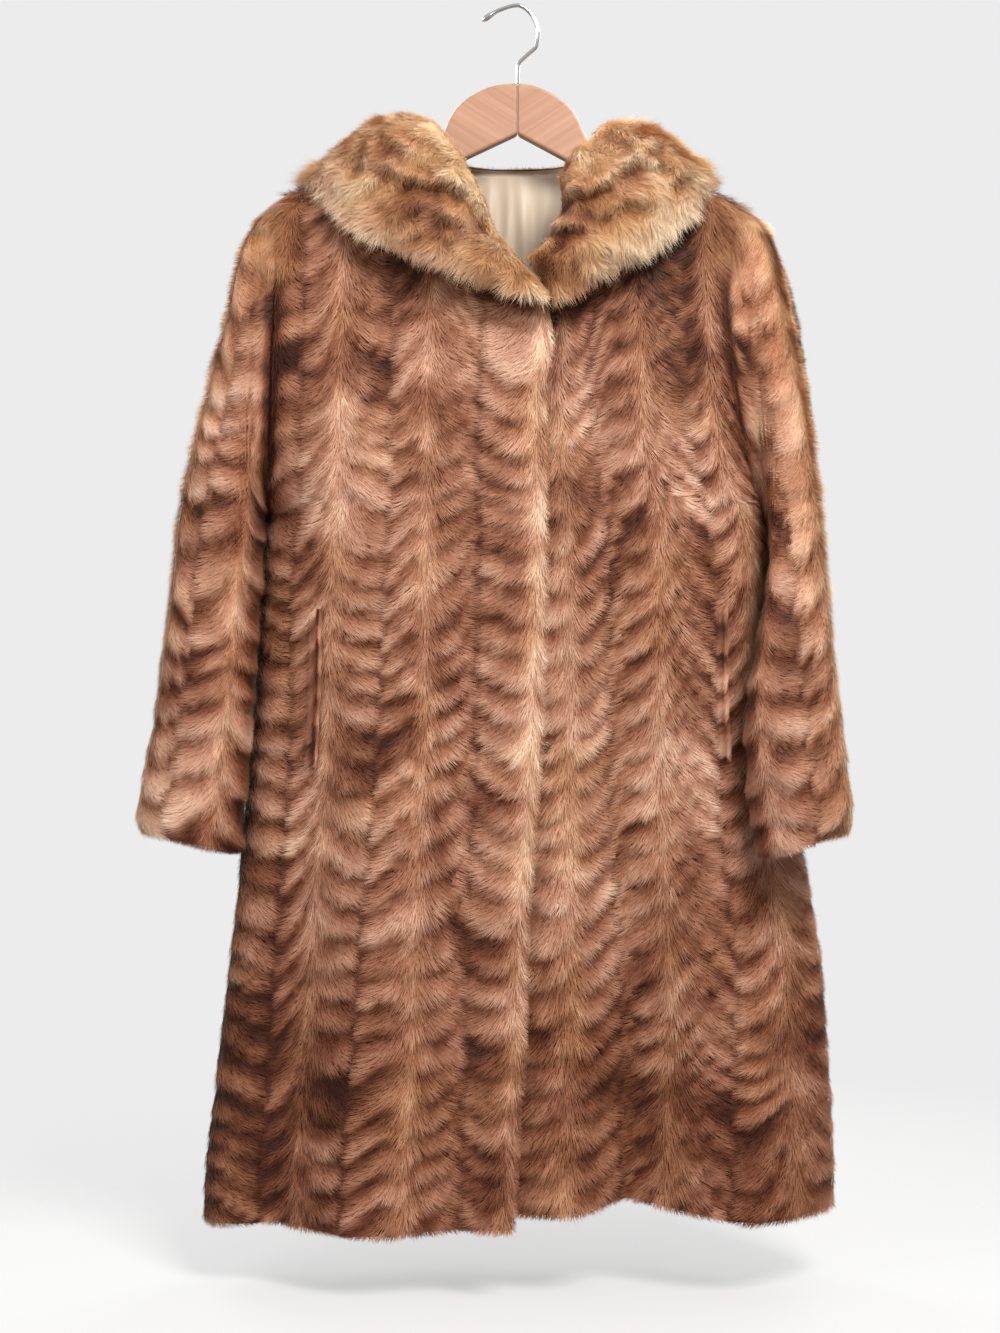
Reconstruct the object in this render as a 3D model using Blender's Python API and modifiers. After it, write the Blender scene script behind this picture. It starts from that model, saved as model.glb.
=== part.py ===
"""Fur coat on a wooden hanger, built from the pieces a furrier cuts and joins.

Lengths are in millimetres until a mesh is written, in metres. X runs to the
viewer's right, the fronts face -Y and Z is up. The origin is the point under
the steel hook where a rod would carry it. Each wall of the coat is a pelt with
its lining and its fur: the inner points are the lining, the outer points are
the tips of the fur.
"""
import math
from collections import namedtuple

import bmesh
import bpy
import numpy as np
from mathutils import Vector
from mathutils.bvhtree import BVHTree

MM = 0.001
SEAM_GAP = 0.3

# Walls, from the lining to the tips of the fur.
COAT_WALL = 11.0
LINING_WALL = 1.0
STRIP_RIDGE = 2.2
STRIP_VALLEY = 2.2

# Rows of points in a panel: above the underarm, and from there to the hem.
ARMHOLE_ROWS = 10
SKIRT_ROWS = 16
COLUMNS_PER_HALF_STRIP = 2
# Each point's height is found in small passes, from a first guess in its part.
CHEST_GUESS = -200.0
SKIRT_GUESS = -700.0
HEIGHT_PASSES = 40

# The body of the coat at each height, measured over the fur at the sides and
# inside the lining at the middle.
BodyRow = namedtuple("BodyRow", "z right_width left_width front_depth back_depth")
BODY_ROWS = (
    BodyRow(-1170, 304.5, 304.5, 74, 56),
    BodyRow(-1117, 302.0, 305.0, 74, 55),
    BodyRow(-1037, 293.0, 301.0, 73, 54),
    BodyRow(-942, 282.0, 295.0, 72, 52),
    BodyRow(-874, 274.0, 286.0, 71, 51),
    BodyRow(-784, 263.0, 267.0, 70, 50),
    BodyRow(-710, 256.5, 257.0, 68, 48),
    BodyRow(-650, 252.5, 252.0, 67, 47),
    BodyRow(-600, 249.5, 249.5, 66, 46),
    BodyRow(-540, 246.5, 247.5, 64, 45),
    BodyRow(-510, 243.0, 244.0, 63, 44),
    BodyRow(-475, 237.0, 237.0, 62, 44),
    BodyRow(-300, 236.0, 236.0, 50, 38),
    BodyRow(-200, 234.0, 234.0, 40, 32),
    BodyRow(-120, 232.0, 232.0, 36, 30),
)

# How square the body's section is at its sides, and just under the arms.
SIDE_SQUARENESS = 3.0
UNDERARM_SQUARENESS = 4.0
UNDERARM_FADE = 90.0
# Powers that keep folds and laps off a panel's side, and its lowered seam near it.
SIDE_FADE = 6
ARMHOLE_FADE = 8

# The shoulder seams, from the wearer's right to the left.
ShoulderPoint = namedtuple("ShoulderPoint", "x z")
SHOULDER_SEAM = (
    ShoulderPoint(-226, -192),
    ShoulderPoint(-214, -187),
    ShoulderPoint(-200, -182),
    ShoulderPoint(-180, -176),
    ShoulderPoint(-130, -155),
    ShoulderPoint(-88, -131),
    ShoulderPoint(0, -125),
    ShoulderPoint(88, -131),
    ShoulderPoint(130, -156),
    ShoulderPoint(180, -187),
    ShoulderPoint(208, -197),
    ShoulderPoint(226, -207),
)
SHOULDER_ROUNDING = 40.0

# The armholes: top and bottom of the loop, half its depth, and how far its
# front stands nearer the middle of the coat than its back.
Armhole = namedtuple("Armhole", "x_top z_top x_bottom z_bottom half_depth turn")
ARMHOLES = {
    -1: Armhole(-221, -190, -226, -475, 45, 0.08),
    1: Armhole(208, -197, 226, -475, 46, -0.42),
}
# How full the loop is between its top and its middle; 1 is an ellipse.
ARMHOLE_FULLNESS = 0.85

# The upper front's edge, with the under front reaching UNDERLAP beyond it.
EdgePoint = namedtuple("EdgePoint", "z x")
FRONT_EDGE = (
    EdgePoint(-1170, -7),
    EdgePoint(-1060, -2),
    EdgePoint(-980, 4),
    EdgePoint(-880, 6),
    EdgePoint(-820, 11),
    EdgePoint(-740, 17),
    EdgePoint(-640, 22),
    EdgePoint(-480, 25),
    EdgePoint(-380, 25),
    EdgePoint(-330, 31),
    EdgePoint(-294, 28),
)
UNDERLAP = 45.0
LAP_LIFT = 8.5
LAP_MARGIN = 12.0
UPPER_LAP_FADE = 70.0
UNDER_LAP_FADE = 60.0

# Necklines, from the front edge or the middle of the back to the shoulder.
NeckPoint = namedtuple("NeckPoint", "x z")
UPPER_NECKLINE = (
    NeckPoint(-88, -131),
    NeckPoint(-72, -150),
    NeckPoint(-63, -172),
    NeckPoint(-54, -196),
    NeckPoint(-42, -229),
    NeckPoint(-21, -248),
    NeckPoint(12, -278),
    NeckPoint(31, -294),
)
UNDER_NECKLINE = (
    NeckPoint(-20, -298),
    NeckPoint(10, -288),
    NeckPoint(25, -268),
    NeckPoint(35, -245),
    NeckPoint(44, -222),
    NeckPoint(54, -196),
    NeckPoint(63, -172),
    NeckPoint(74, -151),
    NeckPoint(92, -133),
)
BACK_NECKLINE = (
    NeckPoint(-92, -133),
    NeckPoint(-74, -150),
    NeckPoint(-50, -155),
    NeckPoint(0, -157),
    NeckPoint(50, -155),
    NeckPoint(70, -150),
    NeckPoint(88, -131),
)

# Hems, seen from the front.
HemPoint = namedtuple("HemPoint", "x z")
UPPER_HEM = (
    HemPoint(-305, -1166),
    HemPoint(-226, -1158),
    HemPoint(-151, -1161),
    HemPoint(-67, -1157),
    HemPoint(0, -1153),
)
UNDER_HEM = (
    HemPoint(-60, -1141),
    HemPoint(37, -1144),
    HemPoint(105, -1133),
    HemPoint(216, -1152),
    HemPoint(305, -1148),
)
BACK_HEM = (
    HemPoint(-305, -1166),
    HemPoint(0, -1158),
    HemPoint(305, -1148),
)

# Soft folds, as how far each stands out at the hem. They fade towards the chest.
Fold = namedtuple("Fold", "x height")
FRONT_FOLDS = (
    Fold(-305, 0),
    Fold(-285, 5),
    Fold(-226, -22),
    Fold(-151, 22),
    Fold(-67, -3),
    Fold(-7, 9),
    Fold(37, 8),
    Fold(105, -24),
    Fold(216, 24),
    Fold(305, 0),
)
BACK_FOLDS = (
    Fold(-305, 0),
    Fold(-238, 18),
    Fold(-155, -16),
    Fold(-70, 15),
    Fold(5, -12),
    Fold(84, 18),
    Fold(160, -18),
    Fold(240, 16),
    Fold(305, 0),
)
FOLDS_START = -400.0
FOLDS_FADE = 0.8

# Strips of fur. Each row is a line down the panel: its place across the panel
# at the chest and at the hem, and 1 for a ridge or -1 for a seam in a valley.
StripLine = namedtuple("StripLine", "chest hem rise")
UPPER_FRONT_STRIPS = (
    StripLine(0.0, 0.0, -0.8),
    StripLine(0.05, 0.04, 1),
    StripLine(0.246, 0.157, -1),
    StripLine(0.43, 0.35, 1),
    StripLine(0.568, 0.54, -1),
    StripLine(0.761, 0.68, 1),
    StripLine(0.90, 0.82, -1),
    StripLine(1.0, 1.0, 0),
)
UNDER_FRONT_STRIPS = (
    StripLine(0.0, 0.0, -1),
    StripLine(0.275, 0.27, 1),
    StripLine(0.40, 0.42, -1),
    StripLine(0.61, 0.555, 1),
    StripLine(0.79, 0.715, -1),
    StripLine(0.90, 0.885, 1),
    StripLine(1.0, 1.0, 0),
)
BACK_STRIPS = (
    StripLine(0.0, 0.0, 0),
    StripLine(0.08, 0.09, -1),
    StripLine(0.17, 0.18, 1),
    StripLine(0.26, 0.26, -1),
    StripLine(0.34, 0.34, 1),
    StripLine(0.42, 0.42, -1),
    StripLine(0.50, 0.50, 1),
    StripLine(0.58, 0.58, -1),
    StripLine(0.66, 0.66, 1),
    StripLine(0.74, 0.74, -1),
    StripLine(0.83, 0.82, 1),
    StripLine(0.92, 0.91, -1),
    StripLine(1.0, 1.0, 0),
)

# Sleeves over the fur, from just past the armhole to the cuff: the outer and
# the inner point of each section, half its depth, and its turn to the front.
SleeveRow = namedtuple("SleeveRow", "x_out y_out z_out x_in y_in z_in half_depth turn")
SLEEVES = {
    -1: (
        SleeveRow(-248, 0, -206, -244, -4, -495, 55, 0.08),
        SleeveRow(-263, -2, -238, -246, -8, -510, 54, 0.04),
        SleeveRow(-277, -8, -303, -247, -12, -532, 52, 0.0),
        SleeveRow(-294, -12, -368, -248, -16, -560, 51, 0.0),
        SleeveRow(-309, -15, -433, -249, -18, -594, 50, 0.0),
        SleeveRow(-323, -18, -506, -251, -20, -636, 49, 0.0),
        SleeveRow(-332, -20, -590, -256, -22, -686, 48, 0.0),
        SleeveRow(-345, -20, -682, -262, -22, -744, 48, 0.0),
        SleeveRow(-360, -20, -772, -268, -22, -796, 50, 0.0),
        SleeveRow(-357, -20, -788, -268, -22, -806, 48, 0.0),
    ),
    1: (
        SleeveRow(236, 0, -207, 246, -3, -498, 54, -0.42),
        SleeveRow(249, -4, -238, 249, -14, -514, 52, -0.42),
        SleeveRow(262, -10, -303, 247, -32, -536, 50, -0.40),
        SleeveRow(272, -20, -361, 240, -52, -564, 47, -0.36),
        SleeveRow(278, -34, -420, 229, -70, -598, 44, -0.30),
        SleeveRow(284, -52, -490, 218, -86, -640, 42, -0.20),
        SleeveRow(290, -70, -586, 212, -92, -694, 41, -0.08),
        SleeveRow(298, -82, -690, 218, -92, -750, 41, 0.00),
        SleeveRow(306, -87, -768, 226, -92, -796, 43, 0.00),
        SleeveRow(303, -87, -784, 227, -92, -804, 41, 0.00),
    ),
}
RINGS_PER_SLEEVE_ROW = 2
SLEEVE_STRIPS = 4
RINGS_TO_FULL_STRIPS = 6
# Rings near the armhole, where the wall is cut in the plane of its ring.
ARMHOLE_RINGS = 8

# The collar, from its end on the upper front round the back of the neck: its
# inner and outer edge, how far it puffs up between them, how near the inner
# edge it is highest (1 is half way), and its wall there.
CollarRib = namedtuple("CollarRib", "x_in y_in z_in x_edge y_edge z_edge puff roll wall")
COLLAR_RIBS = (
    CollarRib(26, -84, -284, 24, -88, -292, 1, 1.0, 8),
    CollarRib(8, -80, -262, -14, -90, -281, 4, 1.0, 12),
    CollarRib(-25, -72, -226, -60, -88, -261, 9, 0.9, 15),
    CollarRib(-38, -66, -188, -96, -84, -248, 12, 0.8, 15),
    CollarRib(-50, -58, -162, -122, -81, -238, 14, 0.7, 15),
    CollarRib(-66, -46, -138, -150, -72, -219, 17, 0.65, 15),
    CollarRib(-80, -28, -122, -178, -52, -190, 20, 0.6, 15),
    CollarRib(-88, 0, -116, -200, -4, -168, 20, 0.6, 15),
    CollarRib(-80, 26, -123, -188, 46, -186, 17, 0.65, 15),
    CollarRib(-54, 40, -143, -142, 66, -226, 12, 0.8, 15),
    CollarRib(0, 42, -148, 0, 70, -250, 11, 0.9, 15),
    CollarRib(54, 40, -143, 138, 66, -226, 12, 0.9, 15),
    CollarRib(80, 26, -123, 174, 48, -192, 15, 0.9, 15),
    CollarRib(88, 0, -118, 180, -4, -170, 17, 0.85, 15),
    CollarRib(80, -28, -124, 170, -54, -194, 16, 0.85, 15),
    CollarRib(66, -44, -142, 154, -70, -214, 16, 0.85, 15),
    CollarRib(52, -54, -166, 130, -76, -236, 14, 0.9, 15),
    CollarRib(44, -60, -192, 100, -78, -254, 12, 0.9, 15),
    CollarRib(36, -64, -214, 76, -79, -266, 10, 1.0, 15),
    CollarRib(26, -68, -237, 54, -81, -279, 7, 1.0, 13),
    CollarRib(8, -70, -251, 33, -82, -290, 4, 1.0, 9),
)
STEPS_PER_COLLAR_RIB = 2
COLLAR_CLEARANCE = 3.5
COLLAR_LIFT_SPREAD = 6
COLLAR_SHARES = (0.0, 0.07, 0.17, 0.32, 0.52, 0.76, 1.0)
# The band faces away from this point inside the coat, and thins to this share
# of its wall at both edges.
COLLAR_CENTRE = (0.0, 0.0, -260.0)
COLLAR_EDGE = 0.55

# Back lining where it shows in the neck, in rows and columns of the back.
LINING_ROWS = 9
LINING_FIRST_COLUMN = 8
LINING_LAST_COLUMN = 16

# Pocket mouths: a lip of fur beside each slit, along a column of the panel's
# points and between two of its rows.
Pocket = namedtuple("Pocket", "name panel column first_row last_row")
POCKETS = (
    Pocket("pocket_lip_right", "front_right", 10.6, 12.4, 15.8),
    Pocket("pocket_lip_left", "front_left", 8.5, 12.4, 15.8),
)
POCKET_LIP_ROWS = 9
# Across the lip: the distance from its middle and the height of its fur.
POCKET_LIP_PROFILE = ((-4.5, 1.0), (-1.5, 3.2), (1.5, 3.2), (4.5, 1.0))

# Furrier's hooks and eyes of bent wire, at the edge of the upper front, found
# from well before the coat.
BEFORE_COAT = -500.0
CLOSURE_WIRE = 1.2
CLOSURES = {"neck": -308.0, "waist": -707.0}
CLOSURE_HOOK = ((-7.0, 2.0), (2.0, 2.0), (7.0, 1.8), (9.0, 0.0), (7.5, -1.8), (4.0, -2.2))
CLOSURE_EYE_RADIUS = 3.4
CLOSURE_EYE_PLACE = 7.0
CLOSURE_EYE_SIDES = 12
CLOSURE_SEAT = 0.7

# Hanger: two flat laminated arms that meet in a mitre, and a steel hook.
HANGER_THICKNESS = 14.0
HANGER_ROUNDING = 2.5
HANGER_TOP_STEPS = 3
HangerPoint = namedtuple("HangerPoint", "x z")
HANGER_TOP = (
    HangerPoint(0, -74),
    HangerPoint(17, -76),
    HangerPoint(37, -84),
    HangerPoint(57, -100),
    HangerPoint(72, -130),
    HangerPoint(88, -142),
    HangerPoint(110, -149),
    HangerPoint(130, -160.3),
    HangerPoint(180, -191),
)
HANGER_OFFSET = -3.5
HANGER_TIP = (
    HangerPoint(194, -198.5),
    HangerPoint(200, -204),
    HangerPoint(198, -211),
)
HANGER_BOTTOM = (
    HangerPoint(188, -213),
    HangerPoint(160, -200),
    HangerPoint(110, -176),
    HangerPoint(52, -149),
    HangerPoint(0, -123),
)
HOOK_WIRE = 3.8
HookPoint = namedtuple("HookPoint", "x z")
HOOK_ROUTE = (
    HookPoint(0, -73.8),
    HookPoint(0.5, -56),
    HookPoint(8, -47),
    HookPoint(18, -37),
    HookPoint(20, -25),
    HookPoint(14.5, -8.5),
    HookPoint(0, 1.9),
    HookPoint(-17, -2.5),
    HookPoint(-34, -13),
)
HOOK_STEPS = 4

# Edges sharper than this, in degrees, stay crisp.
CRISP_EDGE = 50.0

# A spot is inside a wall where it lies this squarely behind the nearest face.
BEHIND_FACE = -0.9


def smooth_curve(keys, values, at):
    """Cubic curve through (keys, values) with no overshoot, read at `at`."""
    keys = np.asarray(keys, float)
    values = np.asarray(values, float)
    gap = np.diff(keys)
    slope = np.diff(values) / gap
    tangent = np.zeros(len(keys))
    tangent[0], tangent[-1] = slope[0], slope[-1]
    turning = slope[:-1] * slope[1:] <= 0
    total = np.where(turning, 1.0, slope[:-1] + slope[1:])
    tangent[1:-1] = np.where(turning, 0.0, 2 * slope[:-1] * slope[1:] / total)
    at = np.clip(at, keys[0], keys[-1])
    i = np.clip(np.searchsorted(keys, at, side="right") - 1, 0, len(gap) - 1)
    t = (at - keys[i]) / gap[i]
    return ((1 + 2 * t) * (1 - t) ** 2 * values[i]
            + t * (1 - t) ** 2 * gap[i] * tangent[i]
            + t * t * (3 - 2 * t) * values[i + 1]
            + t * t * (t - 1) * gap[i] * tangent[i + 1])


def column(rows, name):
    return [getattr(row, name) for row in rows]


def read_table(rows, key, value, at):
    return smooth_curve(column(rows, key), column(rows, value), at)


def read_line(rows, at):
    return np.interp(at, column(rows, "x"), column(rows, "z"))


def ease(t):
    t = np.clip(t, 0.0, 1.0)
    return t * t * (3 - 2 * t)


def material(name, colour, roughness, metallic=0.0):
    made = bpy.data.materials.new(name)
    made.use_nodes = True
    shader = made.node_tree.nodes["Principled BSDF"]
    shader.inputs["Base Color"].default_value = (*colour, 1.0)
    shader.inputs["Roughness"].default_value = roughness
    shader.inputs["Metallic"].default_value = metallic
    made.diffuse_color = (*colour, 1.0)
    return made


def add_mesh(name, points, faces, look, collection):
    """One closed solid from points in millimetres, with its faces outwards."""
    mesh = bpy.data.meshes.new(name)
    mesh.from_pydata([tuple(p * MM) for p in points], [], faces)
    build = bmesh.new()
    build.from_mesh(mesh)
    bmesh.ops.recalc_face_normals(build, faces=build.faces)
    bmesh.ops.triangulate(build, faces=build.faces)
    build.to_mesh(mesh)
    build.free()
    mesh.shade_smooth()
    mesh.set_sharp_from_angle(angle=math.radians(CRISP_EDGE))
    mesh.materials.append(look)
    solid = bpy.data.objects.new(name, mesh)
    collection.objects.link(solid)
    return solid


def wall_mesh(inner, outer, closed_round=False):
    """Points and faces of a wall between two grids, with its rims closed."""
    rows, columns = inner.shape[:2]
    size = rows * columns
    points = np.concatenate([inner.reshape(-1, 3), outer.reshape(-1, 3)])
    faces = []
    steps = columns if closed_round else columns - 1
    for row in range(rows - 1):
        for step in range(steps):
            after = (step + 1) % columns
            a, b = row * columns + step, row * columns + after
            c, d = a + columns, b + columns
            faces.append((a, b, d, c))
            faces.append((size + a, size + c, size + d, size + b))
    for row in (0, rows - 1):
        for step in range(steps):
            after = (step + 1) % columns
            a, b = row * columns + step, row * columns + after
            faces.append((a, b, size + b, size + a))
    if not closed_round:
        for step in (0, columns - 1):
            for row in range(rows - 1):
                a = row * columns + step
                b = a + columns
                faces.append((a, b, size + b, size + a))
    return points, faces


def mesh_points(solid):
    return [np.array(vertex.co) for vertex in solid.data.vertices]


def grid_normals(grid):
    """Unit normals of a grid of points, from its rows and columns."""
    down = np.gradient(grid, axis=0)
    across = np.gradient(grid, axis=1)
    normals = np.cross(across, down)
    return normals / np.linalg.norm(normals, axis=2, keepdims=True)


def armhole_ring(side, angle, grow):
    """A point on the armhole loop; `grow` moves it out through the wall."""
    hole = ARMHOLES[side]
    half_height = (hole.z_top - hole.z_bottom) / 2 + grow
    middle_z = (hole.z_top + hole.z_bottom) / 2
    middle_x = (hole.x_top + hole.x_bottom) / 2
    lean = (hole.x_top - hole.x_bottom - side * grow) / 2
    up = np.cos(angle)
    along = np.sign(np.sin(angle)) * np.abs(np.sin(angle)) ** ARMHOLE_FULLNESS
    y = -(hole.half_depth + grow) * along
    x = middle_x + lean * up + side * grow / 2 - side * hole.turn * y
    return np.stack([x, y, middle_z + half_height * up], axis=-1)


def body_half_width(side, z):
    name = "right_width" if side < 0 else "left_width"
    return read_table(BODY_ROWS, "z", name, z) - COAT_WALL


def front_edge(z):
    return read_table(FRONT_EDGE, "z", "x", z)


def fold_height(folds, x, z):
    widest = body_half_width(-1, BODY_ROWS[0].z)
    at_hem = x * widest / body_half_width(-1, z)
    height = read_table(folds, "x", "height", at_hem)
    return height * ease((FOLDS_START - z) / (FOLDS_START - BODY_ROWS[0].z)) ** FOLDS_FADE


def strip_columns(lines):
    """Column places between strip lines, as (line before, share of the way)."""
    places = []
    for number in range(len(lines) - 1):
        for step in range(COLUMNS_PER_HALF_STRIP):
            places.append((number, step / COLUMNS_PER_HALF_STRIP))
    places.append((len(lines) - 2, 1.0))
    return places


def column_values(lines):
    """For each column: its place at the chest and the hem, and its rise."""
    chest, hem, rise = [], [], []
    for number, share in strip_columns(lines):
        before, after = lines[number], lines[number + 1]
        chest.append(before.chest + share * (after.chest - before.chest))
        hem.append(before.hem + share * (after.hem - before.hem))
        weight = share if before.rise < after.rise else 1 - share
        low, high = sorted((before.rise, after.rise))
        rise.append(low + (high - low) * math.sin(weight * math.pi / 2))
    return np.array(chest), np.array(hem), np.array(rise)


Panel = namedtuple("Panel", "face start end top_line hem_line folds strips lap")
PANELS = {
    "front_right": Panel(-1, "edge", -1, UPPER_NECKLINE, UPPER_HEM, FRONT_FOLDS,
                         UPPER_FRONT_STRIPS, 1),
    "front_left": Panel(-1, "underlap", 1, UNDER_NECKLINE, UNDER_HEM, FRONT_FOLDS,
                        UNDER_FRONT_STRIPS, -1),
    "back": Panel(1, -1, 1, BACK_NECKLINE, BACK_HEM, BACK_FOLDS, BACK_STRIPS, 0),
}


def boundary_x(panel, which, z, armhole_row):
    """X of one upright boundary of a panel, at each height."""
    if which == "edge":
        return front_edge(z)
    if which == "underlap":
        return front_edge(z) - UNDERLAP
    if armhole_row is None:
        return which * body_half_width(which, z)
    angle = armhole_row * math.pi / ARMHOLE_ROWS * -panel.face
    return armhole_ring(which, np.array(angle), 0.0)[0] + 0.0 * z


def armhole_height(which, row):
    return armhole_ring(which, np.array(row * math.pi / ARMHOLE_ROWS), 0.0)[2]


def top_height(panel, x):
    """Height of the panel's top: the shoulder seam, cut away by the neckline."""
    shoulder = read_line(SHOULDER_SEAM, x)
    neck = column(panel.top_line, "x")
    inside = (x > neck[0]) & (x < neck[-1])
    return np.where(inside, read_line(panel.top_line, x), shoulder)


def lap_offset(panel, x, z):
    """The fronts cross: the upper one stands out, the under one stands back."""
    past = x - front_edge(z)
    if panel.lap > 0:
        return LAP_LIFT * (1 - ease((-past - UNDERLAP - LAP_MARGIN) / UPPER_LAP_FADE))
    if panel.lap < 0:
        return -LAP_LIFT * (1 - ease((past - LAP_MARGIN) / UNDER_LAP_FADE))
    return 0.0 * past


def panel_points(panel, across, armhole_row=None, skirt_share=None):
    """Inner points of a panel along one row, for each place across it."""
    z = np.full(len(across), CHEST_GUESS if skirt_share is None else SKIRT_GUESS)
    underarm = armhole_height(panel.end, ARMHOLE_ROWS)
    for _ in range(HEIGHT_PASSES):
        start = boundary_x(panel, panel.start, z, armhole_row)
        end = boundary_x(panel, panel.end, z, armhole_row)
        x = start + across * (end - start)
        if skirt_share is None:
            top = armhole_height(panel.end, 0)
            share = (armhole_height(panel.end, armhole_row) - underarm) / (top - underarm)
            start_top = boundary_x(panel, panel.start, z, 0)
            end_top = boundary_x(panel, panel.end, z, 0)
            x_top = start_top + across * (end_top - start_top)
            goal = underarm + share * (top_height(panel, x_top) - underarm)
        else:
            goal = underarm + skirt_share * (read_line(panel.hem_line, x) - underarm)
        z = 0.5 * z + 0.5 * goal
    side_x = np.where(x < 0, boundary_x(panel, -1, z, armhole_row),
                      boundary_x(panel, 1, z, armhole_row))
    reach = np.clip(np.abs(x / side_x), 0, 1)
    below_underarm = np.clip(underarm - z, 0, None)
    squareness = SIDE_SQUARENESS + UNDERARM_SQUARENESS * np.exp(-below_underarm / UNDERARM_FADE)
    rounding = np.sqrt(1 - reach ** squareness)
    depth_name = "front_depth" if panel.face < 0 else "back_depth"
    depth = read_table(BODY_ROWS, "z", depth_name, z)
    below_shoulder = np.clip(read_line(SHOULDER_SEAM, x) - z, 0, SHOULDER_ROUNDING)
    depth = depth * np.sqrt(1 - (1 - below_shoulder / SHOULDER_ROUNDING) ** 2)
    at_side = 0.0
    if armhole_row is not None:
        angle = armhole_row * math.pi / ARMHOLE_ROWS
        at_side = abs(armhole_ring(panel.end, np.array(angle), 0.0)[1])
    depth = at_side + (depth - at_side) * rounding
    away_from_side = 1 - reach ** SIDE_FADE
    depth = depth + fold_height(panel.folds, x, z) * away_from_side
    depth = depth + lap_offset(panel, x, z) * away_from_side
    depth = np.maximum(depth, SEAM_GAP / 2)
    return np.stack([x, panel.face * depth, z], axis=-1)


def panel_grids(panel):
    """Inner and outer grids of a panel, from its top down to its hem."""
    chest, hem, rise = column_values(panel.strips)
    rows = []
    for row in range(ARMHOLE_ROWS + 1):
        rows.append(panel_points(panel, chest, armhole_row=row))
    for row in range(1, SKIRT_ROWS + 1):
        share = row / SKIRT_ROWS
        rows.append(panel_points(panel, chest + share * (hem - chest), skirt_share=share))
    inner = np.array(rows)
    normals = grid_normals(inner)
    normals *= np.sign(normals[:, :, 1:2] * panel.face + 1e-9)
    sides = [(-1, panel.end)] if panel.face < 0 else [(0, panel.start), (-1, panel.end)]
    for place, side in sides:
        normals[ARMHOLE_ROWS:, place, 1] = 0.0
    on_shoulder = np.abs(inner[0, :, 1]) < SEAM_GAP
    normals[0, on_shoulder, 1] = 0.0
    normals /= np.linalg.norm(normals, axis=2, keepdims=True)
    relief = np.where(rise > 0, rise * STRIP_RIDGE, rise * STRIP_VALLEY)
    outer = inner + normals * (COAT_WALL + relief)[None, :, None]
    for place, side in sides:
        for row in range(ARMHOLE_ROWS + 1):
            angle = row * math.pi / ARMHOLE_ROWS * -panel.face
            seam = armhole_ring(side, np.array(angle), COAT_WALL)
            drop = min(0.0, seam[2] - inner[row, place, 2])
            near_seam = np.clip(inner[row, :, 0] / inner[row, place, 0], 0, 1) ** ARMHOLE_FADE
            outer[row, :, 2] += drop * near_seam
            outer[row, place] = seam
            outer[row, place, 1] += panel.face * SEAM_GAP / 2
    return inner, outer


def build_panel(name, look, collection):
    inner, outer = panel_grids(PANELS[name])
    points, faces = wall_mesh(inner, outer)
    solid = add_mesh(name, points, faces, look, collection)
    made = [tuple(point / MM) for point in mesh_points(solid)]
    return BVHTree.FromPolygons(made, [tuple(face.vertices) for face in solid.data.polygons])


def sleeve_rings(side):
    """Inner and outer rings of a sleeve, from the armhole to the cuff."""
    count = 2 * ARMHOLE_ROWS
    angles = np.arange(count) * 2 * math.pi / count
    hole = ARMHOLES[side]
    rows = SLEEVES[side]
    top = SleeveRow(hole.x_top, 0, hole.z_top + COAT_WALL,
                    hole.x_bottom + side * COAT_WALL, 0, hole.z_bottom - COAT_WALL,
                    hole.half_depth + COAT_WALL, hole.turn)
    rows = (top,) + rows
    steps = np.linspace(0, len(rows) - 1, (len(rows) - 1) * RINGS_PER_SLEEVE_ROW + 1)
    read = {}
    for name in SleeveRow._fields:
        read[name] = smooth_curve(range(len(rows)), column(rows, name), steps)
    outer, spokes = [], []
    for i in range(len(steps)):
        far = np.array([read["x_out"][i], read["y_out"][i], read["z_out"][i]])
        near = np.array([read["x_in"][i], read["y_in"][i], read["z_in"][i]])
        middle = (far + near) / 2
        half = np.linalg.norm(far - near) / 2
        along = (far - near) / (2 * half)
        turn = read["turn"][i]
        across = np.array([side * turn, -1.0, 0.0])
        across -= along * np.dot(across, along)
        across /= abs(across[1])
        depth = read["half_depth"][i]
        up = np.cos(angles)[:, None]
        out = np.sin(angles)
        out = (np.sign(out) * np.abs(out) ** ARMHOLE_FULLNESS)[:, None]
        strip = np.cos(angles * SLEEVE_STRIPS)[:, None] * STRIP_RIDGE
        strip *= min(1.0, i / RINGS_TO_FULL_STRIPS)
        ring = along * up * (half + strip) + across * out * (depth + strip)
        outer.append(middle + ring)
        spokes.append(along * up * depth + across * out * half)
    outer[0] = armhole_ring(side, angles, COAT_WALL)
    outer = np.array(outer)
    along_ring = np.roll(outer, -1, axis=1) - np.roll(outer, 1, axis=1)
    normals = np.cross(along_ring, np.gradient(outer, axis=0))
    normals /= np.linalg.norm(normals, axis=2, keepdims=True)
    spokes = np.array(spokes)
    spokes /= np.linalg.norm(spokes, axis=2, keepdims=True)
    normals *= np.sign(np.sum(normals * spokes, axis=(1, 2)))[:, None, None]
    settled = ease((np.arange(len(steps)) - ARMHOLE_RINGS) / ARMHOLE_RINGS)[:, None, None]
    through = normals * settled + spokes * (2 - settled)
    through /= np.linalg.norm(through, axis=2, keepdims=True)
    inner = outer - through * COAT_WALL
    inner[0] = armhole_ring(side, angles, 0.0)
    inner[0, :, 0] += side * SEAM_GAP
    outer[0, :, 0] += side * SEAM_GAP
    return inner, outer


def build_sleeve(name, side, look, collection):
    inner, outer = sleeve_rings(side)
    points, faces = wall_mesh(inner, outer, closed_round=True)
    return add_mesh(name, points, faces, look, collection)


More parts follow.
